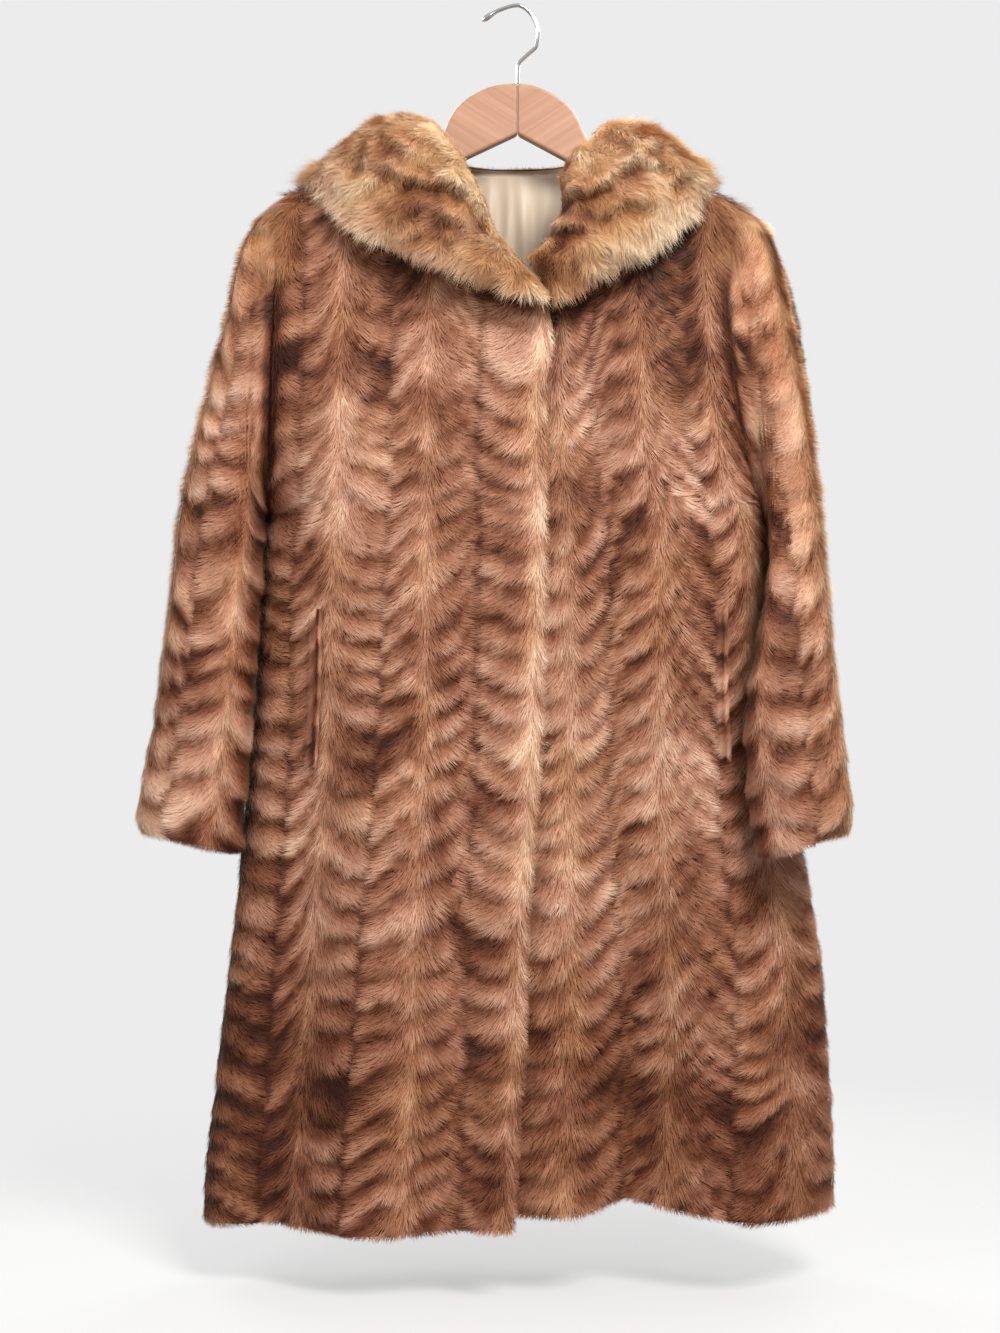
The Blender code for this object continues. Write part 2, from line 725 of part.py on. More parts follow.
def collar_grids():
    """Under side and fur side of the collar band, rib by rib."""
    steps = np.linspace(0, len(COLLAR_RIBS) - 1,
                        (len(COLLAR_RIBS) - 1) * STEPS_PER_COLLAR_RIB + 1)
    read = {}
    for name in CollarRib._fields:
        read[name] = smooth_curve(range(len(COLLAR_RIBS)), column(COLLAR_RIBS, name), steps)
    inside = np.stack([read["x_in"], read["y_in"], read["z_in"]], axis=-1)
    edge = np.stack([read["x_edge"], read["y_edge"], read["z_edge"]], axis=-1)
    share = np.array(COLLAR_SHARES)
    middle = inside[:, None] + share[None, :, None] * (edge - inside)[:, None]
    normals = grid_normals(middle)
    centre = np.array(COLLAR_CENTRE)
    facing = np.sum(normals * (middle - centre), axis=2, keepdims=True)
    normals *= np.sign(facing)
    swell = np.sin(math.pi * share[None, :] ** read["roll"][:, None])
    middle += normals * (read["puff"][:, None] * np.abs(swell))[:, :, None]
    normals = grid_normals(middle)
    normals *= np.sign(np.sum(normals * (middle - centre), axis=2, keepdims=True))
    round_edges = COLLAR_EDGE + (1 - COLLAR_EDGE) * np.sqrt(np.sin(share * math.pi))
    half = read["wall"][:, None] / 2 * round_edges[None, :]
    return middle - normals * half[:, :, None], middle + normals * half[:, :, None]


def clearance(spot, tree):
    """Distance of a spot from a solid, which is negative inside it."""
    near, facing, _, distance = tree.find_nearest(spot)
    behind = (spot - near).dot(facing) < BEHIND_FACE * distance
    return -distance if behind else distance


def lift_clear(under, over, trees):
    """Move a band out where its under side lies too near the panels. Each lift
    is spread over its neighbours, so that the band stays smooth."""
    lift = np.zeros(under.shape[:2])
    for row, place in np.ndindex(lift.shape):
        spot = Vector(under[row, place])
        clear = min(clearance(spot, tree) for tree in trees)
        lift[row, place] = max(0.0, COLLAR_CLEARANCE - clear)
    for _ in range(COLLAR_LIFT_SPREAD):
        wide = np.pad(lift, 1, mode="edge")
        beside = (wide[:-2, 1:-1] + wide[2:, 1:-1] + wide[1:-1, :-2] + wide[1:-1, 2:]) / 4
        lift = np.maximum(lift, beside)
    way = over - under
    way /= np.linalg.norm(way, axis=2, keepdims=True)
    move = way * lift[:, :, None]
    under += move
    over += move


def build_collar(look, collection, trees):
    under, over = collar_grids()
    lift_clear(under, over, trees)
    points, faces = wall_mesh(under, over)
    return add_mesh("collar", points, faces, look, collection)


def build_lining(look, collection):
    """Satin inside the back of the neck, made from the back's own points."""
    inner, _ = panel_grids(PANELS["back"])
    grid = inner[:LINING_ROWS, LINING_FIRST_COLUMN:LINING_LAST_COLUMN + 1]
    normals = grid_normals(grid)
    normals *= -np.sign(normals[:, :, 1:2])
    outer = grid + normals * SEAM_GAP
    points, faces = wall_mesh(outer + normals * LINING_WALL, outer)
    return add_mesh("lining_back", points, faces, look, collection)


def grid_point(grid, row, place):
    """A point between the rows and columns of a grid."""
    i, j = int(row), int(place)
    s, t = row - i, place - j
    upper = (1 - t) * grid[i, j] + t * grid[i, j + 1]
    lower = (1 - t) * grid[i + 1, j] + t * grid[i + 1, j + 1]
    return (1 - s) * upper + s * lower


def build_pocket(pocket, look, collection, tree):
    """The lip beside a pocket's slit, laid on the panel's own surface."""
    _, outer = panel_grids(PANELS[pocket.panel])
    under, over = [], []
    for row in np.linspace(pocket.first_row, pocket.last_row, POCKET_LIP_ROWS):
        middle = grid_point(outer, row, pocket.column)
        under_row, over_row = [], []
        for offset, height in POCKET_LIP_PROFILE:
            near, facing, _, _ = tree.find_nearest(Vector(middle + np.array([offset, 0, 0])))
            base = np.array(near) + np.array(facing) * SEAM_GAP
            under_row.append(base)
            over_row.append(base + np.array(facing) * height)
        under.append(under_row)
        over.append(over_row)
    points, faces = wall_mesh(np.array(under), np.array(over))
    return add_mesh(pocket.name, points, faces, look, collection)


def build_closure(place, height, look, collection, tree):
    """A wire hook under the upper front's edge, and the eye it fastens in."""
    edge = float(front_edge(height))
    before = Vector((edge + CLOSURE_EYE_PLACE, BEFORE_COAT, height))
    near, _, _, _ = tree.ray_cast(before, Vector((0, 1, 0)))
    eye_y = near.y - CLOSURE_SEAT - CLOSURE_WIRE / 2
    ring = []
    for step in range(CLOSURE_EYE_SIDES):
        angle = step * 2 * math.pi / CLOSURE_EYE_SIDES
        ring.append((edge + CLOSURE_EYE_PLACE + CLOSURE_EYE_RADIUS * math.cos(angle), eye_y,
                     height + CLOSURE_EYE_RADIUS * math.sin(angle)))
    wire("closure_eye_" + place, ring, CLOSURE_WIRE, look, collection, closed=True)
    hook_y = eye_y - CLOSURE_WIRE - SEAM_GAP
    route = [(edge + x, hook_y, height + z) for x, z in CLOSURE_HOOK]
    wire("closure_hook_" + place, route, CLOSURE_WIRE, look, collection)


def outline_solid(name, outline, thickness, rounding, look, collection):
    """A flat piece in the XZ plane, as a filled curve with rounded edges."""
    curve = bpy.data.curves.new(name, "CURVE")
    curve.dimensions = "2D"
    curve.fill_mode = "BOTH"
    curve.extrude = thickness / 2 * MM
    spline = curve.splines.new("POLY")
    spline.points.add(len(outline) - 1)
    for point, (x, z) in zip(spline.points, outline):
        point.co = (x * MM, z * MM, 0.0, 1.0)
    spline.use_cyclic_u = True
    curve.materials.append(look)
    solid = bpy.data.objects.new(name, curve)
    solid.rotation_euler = (math.pi / 2, 0.0, 0.0)
    weld = solid.modifiers.new("Weld", "WELD")
    weld.merge_threshold = 0.0001
    bevel = solid.modifiers.new("Bevel", "BEVEL")
    bevel.width = rounding * MM
    bevel.segments = 2
    bevel.limit_method = "ANGLE"
    bevel.angle_limit = math.radians(CRISP_EDGE)
    collection.objects.link(solid)
    return solid


def smooth_route(route, steps_each):
    """Points along a smooth line through a route's own points, seen from the front."""
    knots = np.arange(len(route))
    steps = np.linspace(0, knots[-1], knots[-1] * steps_each + 1)
    x, z = np.array(route, float).T
    return np.stack([smooth_curve(knots, x, steps), smooth_curve(knots, z, steps)], axis=-1)


def arm_line(side, line):
    """One side of an arm's outline, with its end at the mitre on the middle."""
    places = []
    for point in line:
        x = side * point.x + HANGER_OFFSET if point.x else side * SEAM_GAP / 2
        places.append((x, point.z))
    return places


def build_hanger(looks, collection):
    for side, name in ((-1, "hanger_arm_right"), (1, "hanger_arm_left")):
        top = smooth_route(arm_line(side, HANGER_TOP), HANGER_TOP_STEPS)
        outline = list(top) + arm_line(side, HANGER_TIP + HANGER_BOTTOM)
        outline_solid(name, outline, HANGER_THICKNESS, HANGER_ROUNDING, looks["wood"], collection)


def wire(name, route, thickness, look, collection, closed=False):
    """A round wire through a list of points, with closed ends or in a ring."""
    curve = bpy.data.curves.new(name, "CURVE")
    curve.dimensions = "3D"
    curve.bevel_depth = thickness / 2 * MM
    curve.bevel_resolution = 2
    curve.use_fill_caps = not closed
    curve.resolution_u = 1
    curve.render_resolution_u = 0
    spline = curve.splines.new("POLY")
    spline.points.add(len(route) - 1)
    for point, place in zip(spline.points, route):
        point.co = (*(np.asarray(place) * MM), 1.0)
    spline.use_cyclic_u = closed
    curve.materials.append(look)
    solid = bpy.data.objects.new(name, curve)
    collection.objects.link(solid)
    return solid


def build_hook(look, collection):
    x, z = smooth_route(HOOK_ROUTE, HOOK_STEPS).T
    route = np.stack([x, 0 * x, z], axis=-1)
    return wire("hanger_hook", route, HOOK_WIRE, look, collection)


def main():
    for old in list(bpy.data.objects):
        bpy.data.objects.remove(old)
    coat = bpy.data.collections.new("fur coat on a hanger")
    bpy.context.scene.collection.children.link(coat)
    looks = {
        "fur": material("brown fur", (0.33, 0.17, 0.09), 0.8),
        "collar": material("golden collar fur", (0.55, 0.33, 0.16), 0.8),
        "satin": material("cream satin lining", (0.72, 0.66, 0.52), 0.45),
        "wood": material("pale laminated wood", (0.60, 0.38, 0.23), 0.5),
        "steel": material("polished steel", (0.75, 0.75, 0.76), 0.15, 1.0),
    }
    trees = {name: build_panel(name, looks["fur"], coat) for name in PANELS}
    build_sleeve("sleeve_right", -1, looks["fur"], coat)
    build_sleeve("sleeve_left", 1, looks["fur"], coat)
    build_collar(looks["collar"], coat, trees.values())
    for pocket in POCKETS:
        build_pocket(pocket, looks["fur"], coat, trees[pocket.panel])
    for place, height in CLOSURES.items():
        build_closure(place, height, looks["steel"], coat, trees["front_left"])
    build_lining(looks["satin"], coat)
    build_hanger(looks, coat)
    build_hook(looks["steel"], coat)


main()
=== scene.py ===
"""Looks of a fur coat on its wooden hanger, piece by piece as a furrier makes it."""
import math
from collections import namedtuple

import bmesh
import bpy
import numpy as np
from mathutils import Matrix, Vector
from mathutils.bvhtree import BVHTree
from mathutils.kdtree import KDTree


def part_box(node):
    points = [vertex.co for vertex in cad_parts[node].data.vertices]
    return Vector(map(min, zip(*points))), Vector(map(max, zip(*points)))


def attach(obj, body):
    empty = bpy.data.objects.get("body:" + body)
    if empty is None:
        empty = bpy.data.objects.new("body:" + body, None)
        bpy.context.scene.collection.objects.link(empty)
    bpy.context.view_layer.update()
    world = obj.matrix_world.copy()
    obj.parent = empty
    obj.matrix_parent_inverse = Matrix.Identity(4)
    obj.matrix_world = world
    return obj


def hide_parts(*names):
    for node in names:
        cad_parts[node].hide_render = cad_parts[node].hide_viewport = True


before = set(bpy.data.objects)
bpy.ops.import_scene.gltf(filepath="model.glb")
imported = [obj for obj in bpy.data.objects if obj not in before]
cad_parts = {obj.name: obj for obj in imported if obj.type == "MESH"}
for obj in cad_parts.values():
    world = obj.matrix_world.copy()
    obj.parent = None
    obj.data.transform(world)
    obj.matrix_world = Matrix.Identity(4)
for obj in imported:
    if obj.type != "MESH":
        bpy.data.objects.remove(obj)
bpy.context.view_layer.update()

# ---------------------------------------------------------------------------
# Wearer's right front, which laps over the other. It is sewn from long strips
# of dressed pelt, let out in slanting sections, so the hair runs down the
# middle of each strip and fans out to its seams. Cream satin lines it.
# ---------------------------------------------------------------------------

# All sizes are in mm, and a mesh is scaled to metres as it is made.
MM = 0.001
WALL = 11.0            # from the lining to the tips of the hair
HAIR_STANDS = 2.8      # the laid hair above its pelt
SEAM_GAP = 0.3


def table(kind, rows):
    """Rows of numbers, with the names of their columns."""
    return tuple(kind(*row) for row in rows)


# Half widths at a height, and how far the lining hangs before and behind.
BodyRow = namedtuple("BodyRow", "z right_width left_width front_depth back_depth")
BODY_ROWS = table(BodyRow, (
    (-1170, 304.5, 304.5, 74, 56),
    (-1117, 302.0, 305.0, 74, 55),
    (-1037, 293.0, 301.0, 73, 54),
    (-942, 282.0, 295.0, 72, 52),
    (-874, 274.0, 286.0, 71, 51),
    (-784, 263.0, 267.0, 70, 50),
    (-710, 256.5, 257.0, 68, 48),
    (-650, 252.5, 252.0, 67, 47),
    (-600, 249.5, 249.5, 66, 46),
    (-540, 246.5, 247.5, 64, 45),
    (-510, 243.0, 244.0, 63, 44),
    (-475, 237.0, 237.0, 62, 44),
    (-300, 236.0, 236.0, 50, 38),
    (-200, 234.0, 234.0, 40, 32),
    (-120, 232.0, 232.0, 36, 30),
))
Spot = namedtuple("Spot", "x z")
SHOULDER_SEAM = table(Spot, (
    (-226, -192), (-214, -187), (-200, -182), (-180, -176), (-130, -155),
    (-88, -131), (0, -125), (88, -131), (130, -156), (180, -187),
    (208, -197), (226, -207),
))
# An armhole is an oval loop, turned a little to the front; -1 is the wearer's
# right and 1 the left. It is squarer than an ellipse by its exponent.
OVAL = 0.85
Armhole = namedtuple("Armhole", "x_top z_top x_bottom z_bottom half_depth turn")
ARMHOLES = {
    -1: Armhole(-221, -190, -226, -475, 45, 0.08),
    1: Armhole(208, -197, 226, -475, 46, -0.42),
}
FRONT_EDGE = table(Spot, (
    (-7, -1170), (-2, -1060), (4, -980), (6, -880), (11, -820), (17, -740),
    (22, -640), (25, -480), (25, -380), (31, -330), (28, -294),
))
UPPER_NECKLINE = table(Spot, (
    (-88, -131), (-72, -150), (-63, -172), (-54, -196), (-42, -229),
    (-21, -248), (12, -278), (31, -294),
))
UPPER_HEM = table(Spot, ((-305, -1166), (-226, -1158), (-151, -1161), (-67, -1157), (0, -1153)))
# Soft folds of the skirt: where each one's crest or trough meets the hem, and
# how far it stands out or in there.
FOLDS_START = -400.0
Fold = namedtuple("Fold", "x height")
FRONT_FOLDS = table(Fold, (
    (-305, 0), (-285, 5), (-226, -22), (-151, 22), (-67, -3), (-7, 9),
    (37, 8), (105, -24), (216, 24), (305, 0),
))
RIGHT_COLLAR_EDGE = table(Spot, (
    (-196, -174), (-178, -190), (-150, -219), (-122, -238), (-96, -248), (-60, -261),
    (-14, -281), (24, -294),
))
# A line down a panel: its place across at the chest and the hem, and whether
# it is the ridge of a strip (1) or a seam between strips (-1).
StripLine = namedtuple("StripLine", "chest hem rise")
UPPER_FRONT_STRIPS = table(StripLine, (
    (0.0, 0.0, 0.7), (0.03, 0.025, 1), (0.246, 0.157, -1),
    (0.43, 0.35, 1), (0.568, 0.54, -1), (0.761, 0.68, 1),
    (0.90, 0.82, -1), (1.0, 1.0, 0),
))


def smooth_curve(keys, values, at):
    """Cubic curve through (keys, values) with no overshoot, read at `at`."""
    keys = np.asarray(keys, float)
    values = np.asarray(values, float)
    gap = np.diff(keys)
    slope = np.diff(values) / gap
    tangent = np.zeros(len(keys))
    tangent[0], tangent[-1] = slope[0], slope[-1]
    turning = slope[:-1] * slope[1:] <= 0
    total = np.where(turning, 1.0, slope[:-1] + slope[1:])
    tangent[1:-1] = np.where(turning, 0.0, 2 * slope[:-1] * slope[1:] / total)
    at = np.clip(at, keys[0], keys[-1])
    i = np.clip(np.searchsorted(keys, at, side="right") - 1, 0, len(gap) - 1)
    t = (at - keys[i]) / gap[i]
    return ((1 + 2 * t) * (1 - t) ** 2 * values[i] + t * (1 - t) ** 2 * gap[i] * tangent[i]
            + t * t * (3 - 2 * t) * values[i + 1] + t * t * (t - 1) * gap[i] * tangent[i + 1])


def read_table(rows, key, value, at):
    return smooth_curve([getattr(r, key) for r in rows], [getattr(r, value) for r in rows], at)


def read_rows(rows, steps):
    """All the columns of a table as smooth curves, read between its rows."""
    return type(rows[0])(*(smooth_curve(range(len(rows)), column, steps) for column in zip(*rows)))


def read_line(rows, at):
    return np.interp(at, [r.x for r in rows], [r.z for r in rows])


def ease(t):
    t = np.clip(t, 0.0, 1.0)
    return t * t * (3 - 2 * t)


LATTICE = 32           # cells, after which the mottling repeats


def mottle(points, size, seed):
    """Soft random values from 0 to 1 through space, in patches of `size` mm."""
    lattice = np.random.RandomState(seed).rand(LATTICE, LATTICE, LATTICE)
    p = np.asarray(points) / size
    cell = np.floor(p).astype(int)
    t = ease(p - cell)
    total = 0.0
    for corner in np.ndindex(2, 2, 2):
        share = 1.0
        for axis in range(3):
            share = share * (t[..., axis] if corner[axis] else 1 - t[..., axis])
        i, j, k = ((cell[..., axis] + corner[axis]) % LATTICE for axis in range(3))
        total = total + share * lattice[i, j, k]
    return total


def unit(vectors):
    return vectors / np.maximum(np.linalg.norm(vectors, axis=-1, keepdims=True), 1e-9)


def turned_to(vectors, way):
    """Each vector, or its opposite where that points more along `way`."""
    return vectors * np.sign(np.sum(vectors * way, axis=-1, keepdims=True) + 1e-9)


def laid_on(vectors, normals):
    """The part of each vector that lies in the surface, made 1 long."""
    return unit(vectors - normals * np.sum(vectors * normals, axis=-1, keepdims=True))


def grid_normals(grid):
    return unit(np.cross(np.gradient(grid, axis=1), np.gradient(grid, axis=0)))


def armhole_ring(side, angle, grow):
    """A point on the armhole loop; `grow` moves it out through the wall."""
    hole = ARMHOLES[side]
    half_height = (hole.z_top - hole.z_bottom) / 2 + grow
    middle_z = (hole.z_top + hole.z_bottom) / 2
    middle_x = (hole.x_top + hole.x_bottom) / 2
    lean = (hole.x_top - hole.x_bottom - side * grow) / 2
    up = np.cos(angle)
    along = np.sign(np.sin(angle)) * np.abs(np.sin(angle)) ** OVAL
    y = -(hole.half_depth + grow) * along
    x = middle_x + lean * up + side * grow / 2 - side * hole.turn * y
    return np.stack([x, y, middle_z + half_height * up], axis=-1)


def body_half_width(side, z):
    return read_table(BODY_ROWS, "z", "right_width" if side < 0 else "left_width", z) - WALL


def front_edge(z):
    return read_table(FRONT_EDGE, "z", "x", z)


def fold_height(folds, x, z):
    at_hem = x * body_half_width(-1, BODY_ROWS[0].z) / body_half_width(-1, z)
    height = read_table(folds, "x", "height", at_hem)
    return height * ease((FOLDS_START - z) / (FOLDS_START - BODY_ROWS[0].z)) ** 0.8


# The face is -1 in front and 1 behind; a boundary is a side of the body (-1 or
# 1), the upper front's edge, or the edge that lies hidden under it. The lap is
# 1 on the front that lies on top, lifted over the other, and -1 on the under one.
UNDERLAP = 45.0
LAP_LIFT = 8.5
LAP_MARGIN = 12.0      # beside the lap, before its lift runs out to nothing
UPPER_RUNOUT, UNDER_RUNOUT = 70.0, 60.0
ARMHOLE_ROWS = 10
Panel = namedtuple("Panel", "face start end top_line hem_line folds strips lap")


def boundary_x(panel, which, z, armhole_row):
    if which == "edge":
        return front_edge(z)
    if which == "underlap":
        return front_edge(z) - UNDERLAP
    if armhole_row is None:
        return which * body_half_width(which, z)
    angle = armhole_row * math.pi / ARMHOLE_ROWS * -panel.face
    return armhole_ring(which, np.array(angle), 0.0)[0] + 0.0 * z


def armhole_height(which, row):
    return armhole_ring(which, np.array(row * math.pi / ARMHOLE_ROWS), 0.0)[2]


def top_height(panel, x):
    inside = (x > panel.top_line[0].x) & (x < panel.top_line[-1].x)
    return np.where(inside, read_line(panel.top_line, x), read_line(SHOULDER_SEAM, x))


def lap_offset(panel, x, z):
    past = x - front_edge(z)
    if panel.lap > 0:
        return LAP_LIFT * (1 - ease((-past - UNDERLAP - LAP_MARGIN) / UPPER_RUNOUT))
    if panel.lap < 0:
        return -LAP_LIFT * (1 - ease((past - LAP_MARGIN) / UNDER_RUNOUT))
    return 0.0 * past


# The body's section is rounded to the sides and over the shoulders, and is
# squarer under the arms.
SIDE_SQUARENESS = 3.0
UNDERARM_SQUARENESS = 4.0
UNDERARM_FADE = 90.0
SHOULDER_ROUNDING = 40.0
SETTLING_ROUNDS = 24


def lining_row(panel, across, armhole_row=None, skirt_share=None):
    """The lining side of a panel along one row, for each place across it."""
    z = np.full(len(across), -200.0 if skirt_share is None else -700.0)
    underarm = armhole_height(panel.end, ARMHOLE_ROWS)
    # Height and width of a row depend on each other, so they settle in turn.
    for _ in range(SETTLING_ROUNDS):
        start = boundary_x(panel, panel.start, z, armhole_row)
        end = boundary_x(panel, panel.end, z, armhole_row)
        x = start + across * (end - start)
        if skirt_share is None:
            top = armhole_height(panel.end, 0)
            share = (armhole_height(panel.end, armhole_row) - underarm) / (top - underarm)
            start_top = boundary_x(panel, panel.start, z, 0)
            end_top = boundary_x(panel, panel.end, z, 0)
            x_top = start_top + across * (end_top - start_top)
            goal = underarm + share * (top_height(panel, x_top) - underarm)
        else:
            goal = underarm + skirt_share * (read_line(panel.hem_line, x) - underarm)
        z = 0.4 * z + 0.6 * goal
    side_x = np.where(x < 0, boundary_x(panel, -1, z, armhole_row), boundary_x(panel, 1, z, armhole_row))
    reach = np.clip(np.abs(x / side_x), 0, 1)
    below_underarm = np.clip(underarm - z, 0, None)
    squareness = SIDE_SQUARENESS + UNDERARM_SQUARENESS * np.exp(-below_underarm / UNDERARM_FADE)
    rounding = np.sqrt(1 - reach ** squareness)
    depth = read_table(BODY_ROWS, "z", "front_depth" if panel.face < 0 else "back_depth", z)
    below_shoulder = np.clip(read_line(SHOULDER_SEAM, x) - z, 0, SHOULDER_ROUNDING)
    depth = depth * np.sqrt(1 - (1 - below_shoulder / SHOULDER_ROUNDING) ** 2)
    at_side = 0.0
    if armhole_row is not None:
        angle = armhole_row * math.pi / ARMHOLE_ROWS
        at_side = abs(armhole_ring(panel.end, np.array(angle), 0.0)[1])
    depth = at_side + (depth - at_side) * rounding
    away_from_side = 1 - reach ** 6
    depth = depth + (fold_height(panel.folds, x, z) + lap_offset(panel, x, z)) * away_from_side
    return np.stack([x, panel.face * np.maximum(depth, SEAM_GAP / 2), z], axis=-1)


# A surface that carries hair: its points in rows and columns, the way out of
# it, and on each column how far it lies from its strip's ridge (0) towards the
# seam (1), which way that is, and which strip it belongs to. The groove is 1
# along a seam where the pelt turns in to its stitching; there the hair's tone
# is darkened as painted shade.
Skin = namedtuple("Skin", "points out lining from_ridge towards strip half_width groove",
                  defaults=(None,) * 5)

STEPS_TO_SEAM = (0.0, 0.10, 0.24, 0.41, 0.58, 0.74, 0.87, 0.95, 1.0)


def strip_places(lines):
    """Place at chest and hem, distance from the ridge, way and strip number."""
    places = []
    for number in range(len(lines) - 1):
        before, after = lines[number], lines[number + 1]
        towards = 1 if before.rise > after.rise else -1
        shares = STEPS_TO_SEAM if towards > 0 else [1 - share for share in reversed(STEPS_TO_SEAM)]
        last = number == len(lines) - 2
        for share in shares if last else shares[:-1]:
            rise = before.rise + share * (after.rise - before.rise)
            places.append((before.chest + share * (after.chest - before.chest),
                           before.hem + share * (after.hem - before.hem),
                           (1 - rise) / 2, towards, (number + (1 if towards < 0 else 0)) // 2))
    return [np.array(values) for values in zip(*places)]


def over_shoulder(z):
    """The seam of a sleeve is buried in hair at the top of the shoulder."""
    return 0.1 + 0.9 * ease((-210 - z) / 80)


def above_underarm(z):
    """The hair of sleeve and body meets under the arm and fills the seam there."""
    return 1 - 0.9 * ease((-420 - z) / 50)


def beside_sleeve(z):
    """The sides lie in the sleeves' shade down to the cuffs."""
    return 0.15 + 0.85 * ease((z + 870) / 70)


RIDGE = 2.0            # a strip is fuller by this at its ridge and flatter at its seam
SEAM_DIP = 3.2         # how deep the pelt turns in to the stitching at an armhole
BODY_GROOVE, SLEEVE_GROOVE = 8.0, 6.0   # how wide that is, on the body and on a sleeve
SIDE_FULLNESS = 1.3    # the pelt's extra fullness beside a sleeve
SIDE_WIDTH = 16.0
HEM_SHORT = 3.5        # the hair hangs over the hem by this
SKIRT_LENGTH = 670.0


def panel_skin(panel, armhole_steps, skirt_steps):
    """A panel's pelt, from its top down to its hem, and its lining behind it."""
    chest, hem, from_ridge, towards, strip = strip_places(panel.strips)
    rows = [lining_row(panel, chest, armhole_row=row)
            for row in np.linspace(0, ARMHOLE_ROWS, armhole_steps + 1)]
    for share in np.linspace(0, 1 - HEM_SHORT / SKIRT_LENGTH, skirt_steps + 1)[1:]:
        rows.append(lining_row(panel, chest + share * (hem - chest), skirt_share=share))
    lining = np.array(rows)
    out = grid_normals(lining)
    out *= np.sign(out[:, :, 1:2] * panel.face + 1e-9)
    sides = [(-1, panel.end)] if panel.face < 0 else [(0, panel.start), (-1, panel.end)]
    for place, side in sides:
        out[armhole_steps:, place, 1] = 0.0
    out[0, np.abs(lining[0, :, 1]) < SEAM_GAP, 1] = 0.0
    out = unit(out)
    thick = WALL - HAIR_STANDS + RIDGE * np.cos(math.pi * from_ridge)[None, :]
    points = lining + out * thick[:, :, None]
    for place, side in sides:
        for row in range(armhole_steps + 1):
            angle = row / armhole_steps * math.pi * -panel.face
            seam = armhole_ring(side, np.array(angle), WALL - HAIR_STANDS)
            drop = min(0.0, seam[2] - lining[row, place, 2])
            near_seam = np.clip(lining[row, :, 0] / lining[row, place, 0], 0, 1) ** 8
            points[row, :, 2] += drop * near_seam
            points[row, place] = seam
    # The pelt turns in to its stitching along the armhole. Below the arm it is
    # full again out to the tips of its hair, so that body and sleeve touch.
    groove, dip = np.zeros(points.shape[:2]), np.zeros(points.shape[:2])
    for place, side in sides:
        away = np.linalg.norm(points - points[:, place:place + 1 or None], axis=2)
        near = np.exp(-(away / BODY_GROOVE) ** 2) * over_shoulder(points[:, place, 2])[:, None]
        dip = np.maximum(dip, near * above_underarm(points[:, place, 2])[:, None])
        shaded = beside_sleeve(points[:, place, 2])[:, None]
        groove = np.maximum(groove, near * shaded)
        fuller = SIDE_FULLNESS * np.exp(-(away / SIDE_WIDTH) ** 2) * shaded
        fuller = fuller * ease((-440 - points[:, place, 2]) / 50)[:, None]
        dip = dip - HAIR_STANDS / SEAM_DIP * fuller
    points = points - out * SEAM_DIP * dip[:, :, None]
    # Front and back meet along the side seam, where the coat is narrowest in y.
    for place, side in sides:
        points[armhole_steps:, place, 1] = lining[armhole_steps:, place, 1] = 0.02 * panel.face
    width = np.abs(lining[-1, -1, 0] - lining[-1, 0, 0])
    half_width = width / (len(panel.strips) - 1) + 0.0 * from_ridge
    return Skin(points, out, lining, from_ridge, towards, strip, half_width, groove)


PUFF_SHADING = 2.6     # how much plumper the hair looks than its pelt is


def raised(skin, relief):
    """The skin's points, each moved out by its relief."""
    return skin.points + skin.out * relief[:, :, None]


def plump_facing(skin, relief):
    """The way the hair faces over its puffs."""
    return turned_to(grid_normals(raised(skin, relief * PUFF_SHADING)), skin.out)


def hair_angle(from_ridge):
    """Angle of the hair from straight down, from the ridge to the seam."""
    return np.radians(5 + 77 * np.clip(from_ridge, 0, 1) ** 0.75)


# How far down a lock that starts on the ridge has come at each place across.
ACROSS = np.linspace(0, 1, 65)
SWEEP = np.concatenate([[0], np.cumsum(1 / np.tan(hair_angle((ACROSS[1:] + ACROSS[:-1]) / 2)) / 64)])
MOST_STRIPS = 40
SECTION_SHADES = 97    # drawn for each side of a strip, then used again


def section_rows(skin, height, seed, slant, lengthwise):
    """How far down its slanting section each point lies, the section's own
    shade, and a place along and across the hair in mm."""
    steps = np.linalg.norm(np.diff(skin.points, axis=0), axis=2)
    down = np.concatenate([np.zeros((1, steps.shape[1])), np.cumsum(steps, axis=0)])
    if lengthwise is not None:
        down = skin.points @ lengthwise
    draw = np.random.RandomState(seed)
    start = draw.rand(MOST_STRIPS)[skin.strip]
    sweep = np.interp(skin.from_ridge, ACROSS, SWEEP) * skin.half_width * slant
    uneven = mottle(skin.points, 75, seed + 1) * 1.4 + mottle(skin.points, 20, seed + 2) * 0.14
    place = (down - sweep) / height + start + uneven
    number = np.floor(place).astype(int)
    side = (skin.towards > 0).astype(int)
    shades = draw.rand(MOST_STRIPS, 2, SECTION_SHADES)
    shade = shades[skin.strip + 0 * number, side + 0 * number, number % SECTION_SHADES]
    lane = np.stack([place * height, skin.from_ridge * skin.half_width + 0 * place, 0 * place], axis=-1)
    return place - number, shade, lane


Coat = namedtuple("Coat", "flow facing lane length lift tone warm strands")


